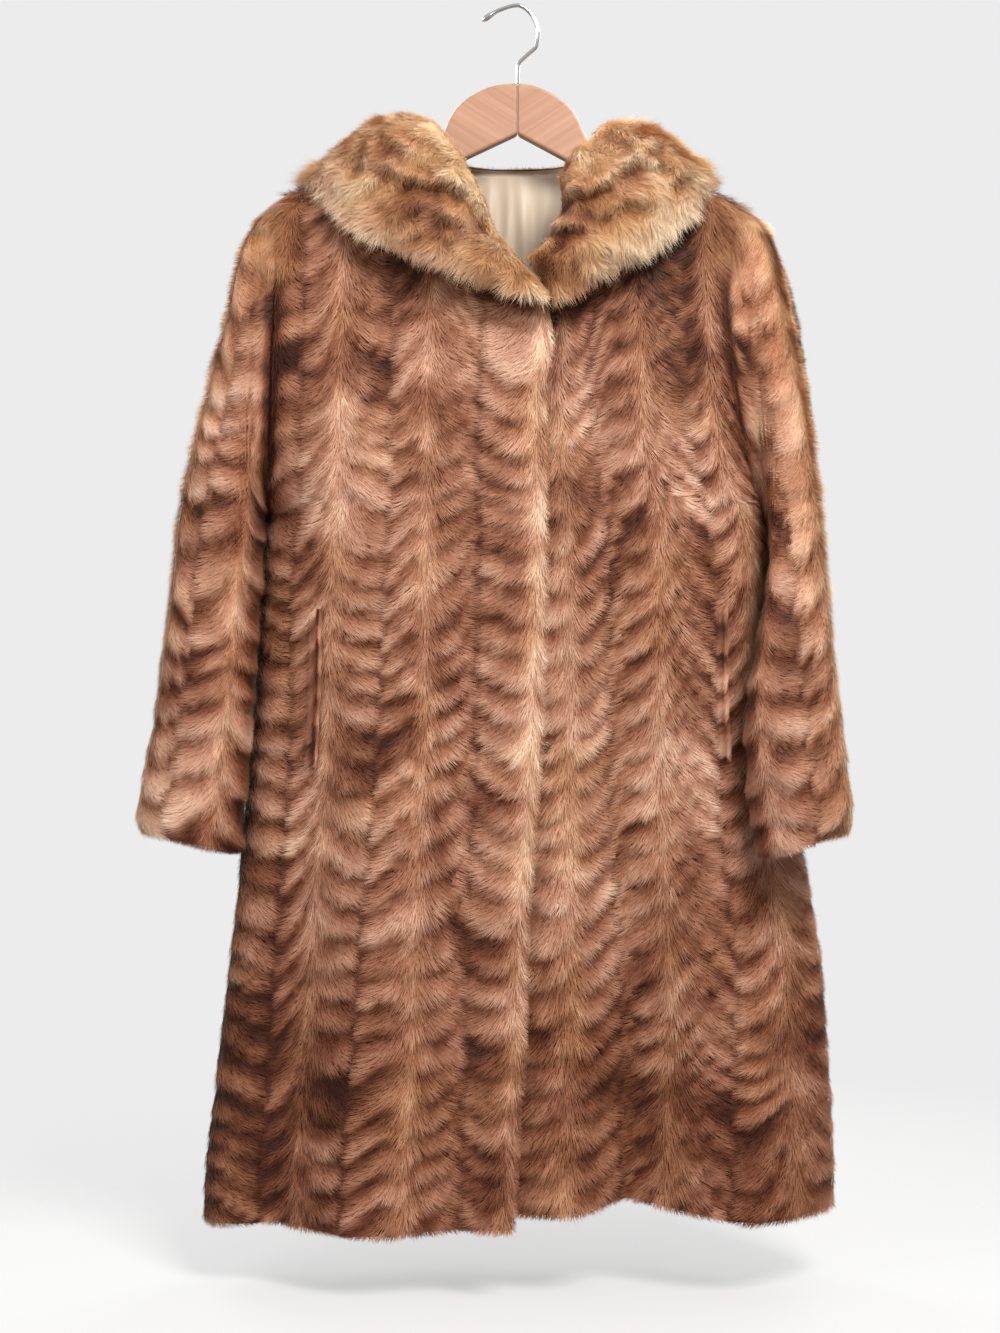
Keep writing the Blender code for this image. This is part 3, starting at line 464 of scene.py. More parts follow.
def lay_coat(skin, seed, warm, height=31.0, length=8.5, puff=2.3, slant=0.75, base=0.475, banding=0.38,
             painted_top_shade=0.09, lengthwise=None):
    """Direction, length, stand and colour of the hair at each point of a skin,
    and the skin itself with each section plumped up towards its lower end.
    A section is `height` mm high and slants by `slant`; `base` is its shade from
    0, dark, to 1, pale, and `banding` how much it changes down the section."""
    points = skin.points
    down = unit(np.gradient(points, axis=0))
    if lengthwise is not None:
        down = unit(lengthwise - skin.out * (skin.out @ lengthwise)[:, :, None])
    across = laid_on(np.gradient(points, axis=1), down)
    part, shade, lane = section_rows(skin, height, seed, slant, lengthwise)
    angle = hair_angle(skin.from_ridge) * skin.towards
    angle = angle + (mottle(points, 15, seed + 3) - 0.5) * 0.5
    angle = angle + (mottle(points, 60, seed + 4) - 0.5) * 0.35
    flow = unit(down * np.cos(angle)[:, :, None] + across * np.sin(angle)[:, :, None])
    ridge = np.exp(-(skin.from_ridge / 0.17) ** 2)
    seam = ease((skin.from_ridge - 0.84) / 0.16)
    side = np.clip(skin.from_ridge * skin.half_width / 18, 0, 1)
    swell = part ** 1.2 * (1 - ease((part - 0.86) / 0.14))
    lumps = mottle(points, 26, seed + 8) - 0.5
    relief = puff * ((0.25 + 0.75 * side) * (swell - 0.35) + 0.9 * lumps) * (1 - skin.groove)
    facing = plump_facing(skin, relief)
    # Marks on the pelt: blotches and a few dark sections; sections that pale towards
    # their lower ends and part in a dark line, partly the hair's own pale tips and
    # dark roots and partly a painted highlight on each puff with painted shadow under
    # it; ridges paler and warmer, partly their own strands and partly painted
    # highlight; painted shade in the valleys, along the seams and in the grooves; and
    # painted shade towards the hem and towards the top, under the collar.
    patches = mottle(points, 80, seed + 5) - 0.5
    small = mottle(points, 20, seed + 6) - 0.5
    # Painted highlight at each section's lower end and painted shadow under its edge, with the hair's own
    # pale tips.
    paler = ease(part / 0.85) * (1 - ease((part - 0.90) / 0.10))
    rowed = (paler - 0.45) * (0.3 + 0.7 * side) * (0.25 + 1.4 * mottle(points, 65, seed + 12))
    dark = (shade < 0.08) * ease((skin.from_ridge - 0.35) / 0.4) * (0.2 + 0.8 * mottle(points, 30, seed + 9))
    # Painted shade towards the hem (low) and towards the top (high).
    low = ease((-760 - points[:, :, 2]) / 300)
    high = ease((points[:, :, 2] + 430) / 130)
    to_seam = (1 - skin.from_ridge) * skin.half_width
    # Painted shade along the seam line itself.
    seam_line_shade = np.exp(-(to_seam / 2.4) ** 2) * (0.25 + 1.2 * mottle(points, 12, seed + 10))
    # The dark line at the top of each section: partly its roots, partly painted shadow under the section
    # above.
    parting_and_shadow = np.exp(-((part - 0.03) / 0.07) ** 2) * side * (0.2 + 1.1 * mottle(points, 30, seed + 14))
    tone = base + banding * rowed + 0.20 * (shade - 0.5) - 0.32 * dark + 0.31 * (patches + small)
    # Painted highlight on the ridge; painted shade in the valley at the seam, on the seam line and in the
    # groove.
    tone = tone + 0.15 * ridge - 0.17 * seam - 0.24 * seam_line_shade - 0.55 * skin.groove - 0.11 * parting_and_shadow
    tone = tone - 0.22 * low - painted_top_shade * high + 0.16 * (mottle(points, 6, seed + 13) - 0.5)
    hair = np.minimum(length * (0.85 + 0.3 * part), 3.4 + 1.1 * to_seam)
    lift = 0.10 + 0.16 * part ** 2 + 0.05 * side + 0.25 * skin.groove
    warm = warm + 0.15 * ridge + 0.5 * (mottle(points, 45, seed + 7) - 0.5) + 0.03
    strands = 0.38 + 0.70 * np.exp(-(skin.from_ridge / 0.36) ** 2) + 0 * tone
    coat = Coat(flow, facing, lane, hair, lift, np.clip(tone, 0.03, 1), np.clip(warm, 0, 1), strands)
    return coat, skin._replace(points=raised(skin, relief))


def linear(hex_colour):
    """An sRGB hex colour as linear red, green and blue."""
    parts = [int(hex_colour[i:i + 2], 16) / 255 for i in (1, 3, 5)]
    return tuple(c / 12.92 if c <= 0.04045 else ((c + 0.055) / 1.055) ** 2.4 for c in parts)


def add_node(tree, kind, inputs=None, stops=(), **settings):
    """A node with its settings. An input is a value, or the node or socket it is
    linked from; the stops of a colour ramp are places and hex colours."""
    node = tree.nodes.new(kind)
    for name, value in settings.items():
        setattr(node, name, value)
    for key, value in (inputs or {}).items():
        if isinstance(value, bpy.types.Node):
            value = value.outputs[0]
        if isinstance(value, bpy.types.NodeSocket):
            tree.links.new(value, node.inputs[key])
        else:
            node.inputs[key].default_value = value
    if stops:
        band = node.color_ramp.elements
        while len(band) < len(stops):
            band.new(0.5)
        for stop, (place, colour) in zip(band, stops):
            stop.position, stop.color = place, (*linear(colour), 1.0)
    return node


def new_material(name):
    """An empty material, its tree and its output."""
    made = bpy.data.materials.new(name)
    made.use_nodes = True
    tree = made.node_tree
    tree.nodes.remove(tree.nodes["Principled BSDF"])
    return made, tree, tree.nodes["Material Output"]


BROWN_HAIR = ((0.0, "#341206"), (0.25, "#7a442a"), (0.5, "#ae775c"), (0.75, "#d7a88e"), (1.0, "#f3d5bb"))
GOLDEN_HAIR = ((0.0, "#4a2610"), (0.25, "#8a5530"), (0.5, "#bb8453"), (0.75, "#dcae7c"), (1.0, "#f6ddb6"))


def hair_colour(tree, shade, warm):
    """The hair's colour at a shade from dark to pale, between brown and golden."""
    brown, golden = (add_node(tree, "ShaderNodeValToRGB", {0: shade}, stops=stops).outputs["Color"]
                     for stops in (BROWN_HAIR, GOLDEN_HAIR))
    return add_node(tree, "ShaderNodeMix", {"Factor": warm, 6: brown, 7: golden}, data_type="RGBA").outputs[2]


def hair_material(name, root_shade):
    """Guard hair: soft, slightly glossy, dark at the root and pale at the tip.
    Its shade comes from the pelt it grows on and differs from lock to lock."""
    made, tree, output = new_material(name)
    tone, warm, along, stray = (add_node(tree, "ShaderNodeAttribute", attribute_name=mark).outputs["Fac"]
                                for mark in ("tone", "warm", "along", "stray"))
    tip = add_node(tree, "ShaderNodeMapRange", {0: along, 3: -root_shade, 4: root_shade})
    own = add_node(tree, "ShaderNodeMapRange", {0: stray, 3: -0.17, 4: 0.17})
    total = add_node(tree, "ShaderNodeMath", {0: tone, 1: tip}, operation="ADD")
    total = add_node(tree, "ShaderNodeMath", {0: total, 1: own}, operation="ADD")
    shader = add_node(tree, "ShaderNodeBsdfPrincipled", {
        "Base Color": hair_colour(tree, total, warm), "Roughness": 0.6, "Specular IOR Level": 0.25,
        "Sheen Weight": 0.18, "Sheen Roughness": 0.35, "Sheen Tint": (1.0, 0.82, 0.62, 1.0)})
    tree.links.new(shader.outputs[0], output.inputs[0])
    return made


brown_hair = hair_material("brown guard hair", 0.10)


def pelt_material(name):
    """Dense underfur between the guard hairs: matt, darker, in fine streaks that
    follow the hair, 0.9 mm apart."""
    made, tree, output = new_material(name)
    tone, warm = (add_node(tree, "ShaderNodeAttribute", attribute_name=mark).outputs["Fac"]
                  for mark in ("tone", "warm"))
    place = add_node(tree, "ShaderNodeUVMap", uv_map="hair lines")
    scaled = add_node(tree, "ShaderNodeMapping", {"Vector": place, "Scale": (1100.0, 90.0, 1.0)})
    streak = add_node(tree, "ShaderNodeTexNoise", {"Vector": scaled, "Scale": 1.0, "Detail": 3.0})
    spread = add_node(tree, "ShaderNodeMapRange", {0: streak, 1: 0.25, 2: 0.75, 3: -0.26, 4: 0.06})
    total = add_node(tree, "ShaderNodeMath", {0: tone, 1: spread}, operation="ADD")
    colour = hair_colour(tree, total, warm)
    bump = add_node(tree, "ShaderNodeBump", {"Height": streak, "Strength": 0.6, "Distance": 0.001})
    shader = add_node(tree, "ShaderNodeBsdfPrincipled", {
        "Base Color": colour, "Roughness": 0.85, "Specular IOR Level": 0.15, "Normal": bump})
    tree.links.new(shader.outputs[0], output.inputs[0])
    return made


brown_pelt = pelt_material("brown underfur")


def satin_material(name, colour, shade):
    """Viscose lining satin: smooth and softly glossy along its floats, with a
    thread pitch of 0.2 mm drawn at 0.8 mm so that it shows. Its colour is mixed
    in soft clouds with a darker copy, as painted shade."""
    made, tree, output = new_material(name)
    place = add_node(tree, "ShaderNodeTexCoord").outputs["Object"]
    weave = add_node(tree, "ShaderNodeTexWave", {"Vector": place, "Scale": 200.0, "Distortion": 0.6,
                                                 "Detail": 1.0}, bands_direction="X").outputs["Fac"]
    cloud = add_node(tree, "ShaderNodeTexNoise", {"Vector": place, "Scale": 9.0, "Detail": 2.0})
    # Painted shade: the cream mixed in soft random clouds with its darker, shaded copy.
    tint = add_node(tree, "ShaderNodeMix", {"Factor": cloud, 6: (*linear(colour), 1.0),
                                            7: (*linear(shade), 1.0)}, data_type="RGBA").outputs[2]
    bump = add_node(tree, "ShaderNodeBump", {"Height": weave, "Strength": 0.08, "Distance": 0.0003})
    shader = add_node(tree, "ShaderNodeBsdfPrincipled", {
        "Base Color": tint, "Roughness": 0.38, "Sheen Weight": 0.2, "Normal": bump})
    tree.links.new(shader.outputs[0], output.inputs[0])
    return made


lining_satin = satin_material("cream lining satin", "#cfc0ab", "#b5a18b")


def grid_faces(rows, columns, closed_round=False, first=0):
    faces = []
    for row in range(rows - 1):
        for step in range(columns if closed_round else columns - 1):
            a = first + row * columns + step
            b = first + row * columns + (step + 1) % columns
            faces.append((a, b, b + columns, a + columns))
    return faces


def link(obj):
    bpy.context.scene.collection.objects.link(obj)
    return obj


def set_values(mesh, name, values):
    """Stores a number, or a vector, for each point of a mesh."""
    vector = np.ndim(values) == 2
    attribute = mesh.attributes.new(name, "FLOAT_VECTOR" if vector else "FLOAT", "POINT")
    field = "vector" if vector else "value"
    attribute.data.foreach_set(field, np.ascontiguousarray(values, dtype=np.float32).ravel())


def thin(values, every):
    """Every second or third row and column, keeping the last ones."""
    rows, columns = ([*range(0, count - 1, step), count - 1] for count, step in zip(values.shape, every))
    return values[rows][:, columns]


def turn_faces_out(mesh, sharp, weld=0.0):
    """Faces look out, shaded smooth but for corners sharper than so many degrees."""
    build = bmesh.new()
    build.from_mesh(mesh)
    if weld:
        bmesh.ops.remove_doubles(build, verts=build.verts, dist=weld)
    bmesh.ops.recalc_face_normals(build, faces=build.faces)
    build.to_mesh(mesh)
    build.free()
    mesh.shade_smooth()
    mesh.set_sharp_from_angle(angle=math.radians(sharp))


UNDER_ROOTS = 0.9      # the pelt lies this deep, so its flat faces never break out
UNDERFUR_DARKER = 0.12
UV_ACROSS, UV_DOWN = 0.014, 0.015   # metres of pelt in a column and in a row


def pelt_shell(name, skin, coat, pelt, every=(1, 2), closed_round=False):
    """The pelt and its lining as one thin closed wall, with its rims turned in."""
    given = skin.points - skin.out * UNDER_ROOTS, skin.lining, coat.tone, coat.warm
    outer, inner, tone, warm = (thin(values, every) for values in given)
    rows, columns = outer.shape[:2]
    size = rows * columns
    points = np.concatenate([inner.reshape(-1, 3), outer.reshape(-1, 3)])
    faces = grid_faces(rows, columns, closed_round)
    lining_faces = len(faces)
    faces += [tuple(reversed(face)) for face in grid_faces(rows, columns, closed_round, size)]
    steps = columns if closed_round else columns - 1
    for row in (0, rows - 1):
        for step in range(steps):
            a, b = row * columns + step, row * columns + (step + 1) % columns
            faces.append((a, b, size + b, size + a))
    if not closed_round:
        for step in (0, columns - 1):
            for row in range(rows - 1):
                a = row * columns + step
                faces.append((a, a + columns, size + a + columns, size + a))
    mesh = bpy.data.meshes.new(name)
    mesh.from_pydata([tuple(p) for p in points * MM], [], faces)
    for look in (pelt, lining_satin):
        mesh.materials.append(look)
    slots = np.zeros(len(faces), dtype=np.int32)
    slots[:lining_faces] = 1
    mesh.polygons.foreach_set("material_index", slots)
    set_values(mesh, "tone", np.concatenate([0 * tone.ravel(), tone.ravel() - UNDERFUR_DARKER]))
    set_values(mesh, "warm", np.concatenate([0 * warm.ravel(), warm.ravel()]))
    across = np.tile(np.linspace(0, 1, columns) * columns * UV_ACROSS, rows)
    down = np.repeat(np.linspace(0, 1, rows) * rows * UV_DOWN, columns)
    places = np.tile(np.stack([across, down], axis=1), (2, 1))
    lines = mesh.uv_layers.new(name="hair lines")
    corner = np.zeros(len(mesh.loops), dtype=np.int32)
    mesh.loops.foreach_get("vertex_index", corner)
    lines.data.foreach_set("uv", places[corner].astype(np.float32).ravel())
    turn_faces_out(mesh, sharp=60)
    return link(bpy.data.objects.new(name, mesh))


def lock_mesh():
    """One fine lock of guard hairs: a flat blade, 1 long, that tapers to its tip."""
    mesh = bpy.data.meshes.new("lock")
    mesh.from_pydata([(-0.5, 0, 0), (0.5, 0, 0), (0, 1, 1)], [], [(0, 1, 2)])
    set_values(mesh, "along", [0, 0, 1.0])
    mesh.shade_smooth()
    return mesh


lock = link(bpy.data.objects.new("lock", lock_mesh()))


def hair_tree():
    """Scatters locks over a skin and lays each one along the skin's own flow."""
    tree = bpy.data.node_groups.new("laid hair", "GeometryNodeTree")
    face = tree.interface
    for name, kind in (("Skin", "Geometry"), ("Locks per square metre", "Float"), ("Lock width", "Float"),
                       ("Untidiness", "Float"), ("Seed", "Int"), ("Lock", "Object"),
                       ("Hair look", "Material")):
        face.new_socket(name, in_out="INPUT", socket_type="NodeSocket" + kind)
    face.new_socket("Hair", in_out="OUTPUT", socket_type="NodeSocketGeometry")
    given = add_node(tree, "NodeGroupInput").outputs
    scatter = add_node(tree, "GeometryNodeDistributePointsOnFaces", {
        "Mesh": given["Skin"], "Density": given["Locks per square metre"], "Seed": given["Seed"]})

    def read(name, kind):
        return add_node(tree, "GeometryNodeInputNamedAttribute", {"Name": name}, data_type=kind)

    stray = add_node(tree, "FunctionNodeRandomValue", {0: (-1.0,) * 3, 1: (1.0,) * 3, "Seed": 3},
                     data_type="FLOAT_VECTOR")
    stray = add_node(tree, "ShaderNodeVectorMath", {0: stray, "Scale": given["Untidiness"]},
                     operation="SCALE")
    flow = add_node(tree, "ShaderNodeVectorMath", {0: read("flow", "FLOAT_VECTOR"), 1: stray},
                    operation="ADD")
    roll = add_node(tree, "FunctionNodeRandomValue", {0: (-0.35,) * 3, 1: (0.35,) * 3, "Seed": 4},
                    data_type="FLOAT_VECTOR")
    out = add_node(tree, "ShaderNodeVectorMath", {0: scatter.outputs["Normal"], 1: roll}, operation="ADD")
    turn = add_node(tree, "FunctionNodeAxesToRotation", {0: flow, 1: out},
                    primary_axis="Y", secondary_axis="Z")
    vary = add_node(tree, "FunctionNodeRandomValue", {2: 0.75, 3: 1.2, "Seed": 5}).outputs[1]
    length = add_node(tree, "ShaderNodeMath", {0: read("length", "FLOAT"), 1: vary},
                      operation="MULTIPLY")
    stand = add_node(tree, "FunctionNodeRandomValue", {2: 0.6, 3: 1.5, "Seed": 6}).outputs[1]
    height = add_node(tree, "ShaderNodeMath", {0: read("lift", "FLOAT"), 1: stand},
                      operation="MULTIPLY")
    height = add_node(tree, "ShaderNodeMath", {0: height, 1: length}, operation="MULTIPLY")
    size = add_node(tree, "ShaderNodeCombineXYZ", {0: given["Lock width"], 1: length, 2: height})
    lane = add_node(tree, "ShaderNodeVectorMath", {0: read("lane", "FLOAT_VECTOR"), 1: (0.34, 0.045, 0.0)},
                    operation="MULTIPLY")
    wisp = add_node(tree, "ShaderNodeTexNoise", {"Vector": lane, "Scale": 1.0, "Detail": 2.0})
    wisp = add_node(tree, "ShaderNodeMapRange", {0: wisp, 1: 0.3, 2: 0.7, 3: 0.0, 4: 0.62})
    shade = add_node(tree, "FunctionNodeRandomValue", {2: 0.0, 3: 0.38, "Seed": 7}).outputs[1]
    shade = add_node(tree, "ShaderNodeMath", {0: wisp, 1: shade}, operation="ADD")
    shade = add_node(tree, "ShaderNodeMath", {0: shade, 1: 0.5}, operation="SUBTRACT")
    shade = add_node(tree, "ShaderNodeMath", {0: shade, 1: read("strands", "FLOAT"), 2: 0.5},
                     operation="MULTIPLY_ADD")
    marked = add_node(tree, "GeometryNodeStoreNamedAttribute", {
        "Geometry": scatter.outputs["Points"], "Name": "stray", "Value": shade}, data_type="FLOAT")
    shape = add_node(tree, "GeometryNodeObjectInfo", {"Object": given["Lock"]}).outputs["Geometry"]
    placed = add_node(tree, "GeometryNodeInstanceOnPoints", {
        "Points": marked, "Instance": shape, "Rotation": turn, "Scale": size})
    for name in ("flow", "lane", "length", "lift", "strands"):
        placed = add_node(tree, "GeometryNodeRemoveAttribute", {"Geometry": placed, "Name": name})
    real = add_node(tree, "GeometryNodeRealizeInstances", {0: placed})
    done = add_node(tree, "GeometryNodeSetMaterial", {"Geometry": real, "Material": given["Hair look"]})
    add_node(tree, "NodeGroupOutput", {0: done})
    return tree


laid_hair = hair_tree()


def shade_softly(mesh):
    """Turns each lock's shading to the way the plump pelt under it faces, so the
    hair is lit as one soft surface and not as separate blades."""
    facing = np.zeros(len(mesh.vertices) * 3, dtype=np.float32)
    mesh.attributes["facing"].data.foreach_get("vector", facing)
    own = np.zeros(len(mesh.vertices) * 3, dtype=np.float32)
    mesh.vertex_normals.foreach_get("vector", own)
    facing = unit(facing.reshape(-1, 3))
    own = turned_to(own.reshape(-1, 3), facing)
    mesh.attributes.remove(mesh.attributes["facing"])
    mesh.normals_split_custom_set_from_vertices(unit(facing + 0.3 * own).tolist())


def grow_hair(name, patches, look, locks, seed, width=0.55, untidy=0.13):
    """Hair over one or more skins, as a plain mesh of about `locks` locks, each
    `width` mm wide."""
    points, faces, values = [], [], {key: [] for key in Coat._fields}
    first = 0
    for grid, coat in patches:
        rows, columns = grid.shape[:2]
        points.append(grid.reshape(-1, 3))
        faces += [tuple(reversed(f)) for f in grid_faces(rows, columns, first=first)]
        first += rows * columns
        for key in Coat._fields:
            value = getattr(coat, key)
            values[key].append(value.reshape(-1, 3) if value.ndim == 3 else value.ravel())
    mesh = bpy.data.meshes.new(name + " skin")
    mesh.from_pydata([tuple(p) for p in np.concatenate(points) * MM], [], faces)
    for key in Coat._fields:
        set_values(mesh, key, np.concatenate(values[key]) * (MM if key == "length" else 1))
    area = sum(face.area for face in mesh.polygons)
    skin = link(bpy.data.objects.new(name + " skin", mesh))
    growth = skin.modifiers.new("Hair", "NODES")
    growth.node_group = laid_hair
    sockets = {item.name: item.identifier for item in laid_hair.interface.items_tree
               if item.in_out == "INPUT"}
    given = {"Locks per square metre": float(locks / area), "Lock width": width * MM, "Untidiness": untidy,
             "Seed": seed, "Lock": lock, "Hair look": look}
    for socket, value in given.items():
        growth[sockets[socket]] = value
    bpy.context.view_layer.update()
    made = bpy.data.meshes.new_from_object(skin.evaluated_get(bpy.context.evaluated_depsgraph_get()))
    made.name = name
    bpy.data.objects.remove(skin)
    shade_softly(made)
    return link(bpy.data.objects.new(name, made))


RIM_TURNS = np.radians((0, 45, 90, 140))         # from the hair side round to the lining
# Painted shade on a turned edge, darker as it turns under.
RIM_PAINTED_SHADE = np.array((0.0, 0.02, 0.08, 0.18))   # darker as it turns in
RIM_BULGE = 0.15                                 # of half the wall


def rim(outer, inner, before, coat_row, droop=0.0):
    """The turned edge of a wall as a narrow skin, with hair that sweeps over it."""
    centre = (outer + inner) / 2
    half = np.linalg.norm(outer - inner, axis=-1, keepdims=True) / 2
    out = (outer - inner) / (2 * half)
    beyond = laid_on(outer - before, out)
    rows, flows, ways = [], [], []
    for turn in RIM_TURNS:
        ways.append(np.cos(turn) * out + np.sin(turn) * beyond)
        rows.append(centre + half * (np.cos(turn) * out + RIM_BULGE * np.sin(turn) * beyond))
        leave = unit(0.7 * beyond + 0.6 * coat_row.flow - 0.45 * np.sin(turn) * out)
        leave[..., 2] -= droop
        flows.append(unit(leave))

    def spread(value):
        return np.repeat(value[None], len(RIM_TURNS), axis=0)

    # Painted shade, darker as the edge turns under.
    turned_in = RIM_PAINTED_SHADE.reshape(-1, *(1,) * coat_row.tone.ndim)
    coat = Coat(np.array(flows), np.array(ways), spread(coat_row.lane), spread(coat_row.length) * 0.7,
                spread(coat_row.lift) * 0.5, spread(coat_row.tone) - turned_in, spread(coat_row.warm) + 0.1,
                spread(coat_row.strands))
    return np.array(rows), coat


def front_faces_out(grid, coat, way):
    """A patch for hair; its rows change order unless it faces along `way`."""
    if np.sum(-grid_normals(grid) * way) >= 0:
        return grid, coat
    return grid[::-1], Coat(*(value[::-1] for value in coat))


FORWARD, BACKWARD, UP, DOWN = (0.0, -1.0, 0.0), (0.0, 1.0, 0.0), (0.0, 0.0, 1.0), (0.0, 0.0, -1.0)


def turned_edge(skin, coat, edge, beside, way, droop=0.0):
    """The rim of a skin along one edge; `beside` is the next row or column."""
    row = Coat(*(value[edge] for value in coat))
    return front_faces_out(*rim(skin.points[edge], skin.lining[edge], skin.points[beside], row, droop), way)


def golden_shoulders(points):
    """The hair is sun-faded golden on the shoulders."""
    return 0.35 * ease((points[:, :, 2] + 330) / 160)


SETTLED_WIDTH = 22.0
SETTLED_LENGTH = 12.0
SETTLED_WARMTH = 0.55


def settle_at_armhole(coat, points, side):
    """Over the shoulder the hair of body and sleeve lies one way across their
    seam, a little longer, and in the same shades."""
    ring = armhole_ring(side, np.linspace(0, 2 * math.pi, 73)[:-1], WALL)
    away = np.min(np.linalg.norm(points[:, :, None] - ring, axis=-1), axis=2)
    near = np.exp(-(away / SETTLED_WIDTH) ** 2) * ease((points[:, :, 2] + 300) / 60)
    way = np.array([0.5 * side, 0.0, -1.0]) + 0 * points
    way[:, :, 0] += 1.4 * (mottle(points, 18, 5) - 0.5)
    way = laid_on(way, coat.facing)
    shades = 0.44 + 0.5 * (mottle(points, 32, 7) - 0.5) + 0.35 * (mottle(points, 12, 9) - 0.5)
    over_seam = 0.85 * np.exp(-(away / 10.0) ** 2)
    share = np.maximum(near, over_seam)[:, :, None]
    return coat._replace(
        flow=unit(coat.flow * (1 - share) + way * share), tone=coat.tone * (1 - near) + shades * near,
        length=coat.length * (1 - near) + SETTLED_LENGTH * near, lift=coat.lift + 0.12 * near,
        warm=coat.warm * (1 - near) + SETTLED_WARMTH * near)


COLLAR_SHADOW_WIDTH = 17.0


def painted_collar_shadow(points, edge):
    """How far a place lies under the collar's hanging edge, where the hair is
    darkened as a painted shadow of the collar."""
    steps = np.linspace(0, len(edge) - 1, 60)
    x, z = (np.interp(steps, range(len(edge)), values) for values in zip(*edge))
    away = np.min(np.hypot(points[..., 0, None] - x, points[..., 2, None] - z), axis=-1)
    return np.exp(-(away / COLLAR_SHADOW_WIDTH) ** 2) * ease((-188 - points[..., 2]) / 30)


def dress(node, skin, coat, patches, locks, seed,
          looks=(brown_pelt, brown_hair), every=(1, 2), closed_round=False, width=0.55, untidy=0.13):
    """The pelt and the hair of a piece. The pelt stands for the solid of its name."""
    shell = pelt_shell(node + "_pelt", skin, coat, looks[0], every, closed_round)
    hair = grow_hair(node + "_hair", patches, looks[1], locks, seed, width, untidy)
    for piece in (shell, hair):
        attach(piece, "root")
    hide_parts(node)


upper = Panel(-1, "edge", -1, UPPER_NECKLINE, UPPER_HEM, FRONT_FOLDS, UPPER_FRONT_STRIPS, 1)
skin = panel_skin(upper, armhole_steps=44, skirt_steps=96)
coat, skin = lay_coat(skin, 11, golden_shoulders(skin.points))
coat = settle_at_armhole(coat, skin.points, -1)
# Painted shadow of the collar on the hair under its hanging edge.
coat = coat._replace(tone=coat.tone - 0.28 * painted_collar_shadow(skin.points, RIGHT_COLLAR_EDGE))
coats = {"pocket_lip_right": (skin.points, coat)}
# The edge's ridge catches the light: its hair is painted paler and warmer, a painted highlight that fades
# down towards the hem.
EDGE_HIGHLIGHT_WIDTH = 17.0
from_edge = np.linalg.norm(skin.points - skin.points[:, :1], axis=2)
pale = np.exp(-(from_edge / EDGE_HIGHLIGHT_WIDTH) ** 2) * (1 - 0.55 * ease((-700 - skin.points[:, :, 2]) / 200))
coat = coat._replace(tone=np.clip(coat.tone + 0.24 * pale, 0, 1), warm=np.clip(coat.warm + 0.12 * pale, 0, 1))
patches = [
    front_faces_out(skin.points, coat, FORWARD),
    turned_edge(skin, coat, -1, -2, DOWN),
    turned_edge(skin, coat, np.s_[:, 0], np.s_[:, 1], (1.0, 0.0, 0.0), 0.25),
]
dress("front_right", skin, coat, patches, locks=174000, seed=1)

# ---------------------------------------------------------------------------
# Wearer's left front, the under one. It is cut from the same let-out strips
# and reaches 45 mm under the upper front, where the hooks meet their eyes.
# ---------------------------------------------------------------------------

UNDER_NECKLINE = table(Spot, (
    (-20, -298), (10, -288), (25, -268), (35, -245), (44, -222), (54, -196),
    (63, -172), (74, -151), (92, -133),
))
UNDER_HEM = table(Spot, ((-60, -1141), (37, -1144), (105, -1133), (216, -1152), (305, -1148)))
LEFT_COLLAR_EDGE = table(Spot, (
    (33, -292), (54, -281), (76, -268), (100, -256), (130, -238), (154, -216),
    (172, -194), (184, -174),
))
UNDER_FRONT_STRIPS = table(StripLine, (
    (0.0, 0.0, -1), (0.275, 0.27, 1), (0.40, 0.42, -1),
    (0.61, 0.555, 1), (0.79, 0.715, -1), (0.90, 0.885, 1),
    (1.0, 1.0, 0),
))
under = Panel(-1, "underlap", 1, UNDER_NECKLINE, UNDER_HEM, FRONT_FOLDS, UNDER_FRONT_STRIPS, -1)
skin = panel_skin(under, armhole_steps=44, skirt_steps=96)
coat, skin = lay_coat(skin, 23, golden_shoulders(skin.points), base=0.455, painted_top_shade=0.24)
coat = settle_at_armhole(coat, skin.points, 1)
# Painted shadow of the collar on the hair under its hanging edge.
coat = coat._replace(tone=coat.tone - 0.26 * painted_collar_shadow(skin.points, LEFT_COLLAR_EDGE))
coats["pocket_lip_left"] = (skin.points, coat)
patches = [
    front_faces_out(skin.points, coat, FORWARD),
    turned_edge(skin, coat, -1, -2, DOWN),
]
dress("front_left", skin, coat, patches, locks=174000, seed=2)

# ---------------------------------------------------------------------------
# Back, one piece of five let-out strips and half a one at each side seam, with
# the same hair and the same soft folds towards the hem.
# ---------------------------------------------------------------------------

BACK_NECKLINE = table(Spot, (
    (-92, -133), (-74, -150), (-50, -155), (0, -157), (50, -155), (70, -150),
    (88, -131),
))
BACK_HEM = table(Spot, ((-305, -1166), (0, -1158), (305, -1148)))
BACK_FOLDS = table(Fold, (
    (-305, 0), (-238, 18), (-155, -16), (-70, 15), (5, -12), (84, 18),
    (160, -18), (240, 16), (305, 0),
))
BACK_STRIPS = table(StripLine, (
    (0.0, 0.0, 0), (0.08, 0.09, -1), (0.17, 0.18, 1),
    (0.26, 0.26, -1), (0.34, 0.34, 1), (0.42, 0.42, -1),
    (0.50, 0.50, 1), (0.58, 0.58, -1), (0.66, 0.66, 1),
    (0.74, 0.74, -1), (0.83, 0.82, 1), (0.92, 0.91, -1),
    (1.0, 1.0, 0),
))
behind = Panel(1, -1, 1, BACK_NECKLINE, BACK_HEM, BACK_FOLDS, BACK_STRIPS, 0)
skin = panel_skin(behind, armhole_steps=40, skirt_steps=88)
coat, skin = lay_coat(skin, 37, golden_shoulders(skin.points))
coat = settle_at_armhole(settle_at_armhole(coat, skin.points, -1), skin.points, 1)
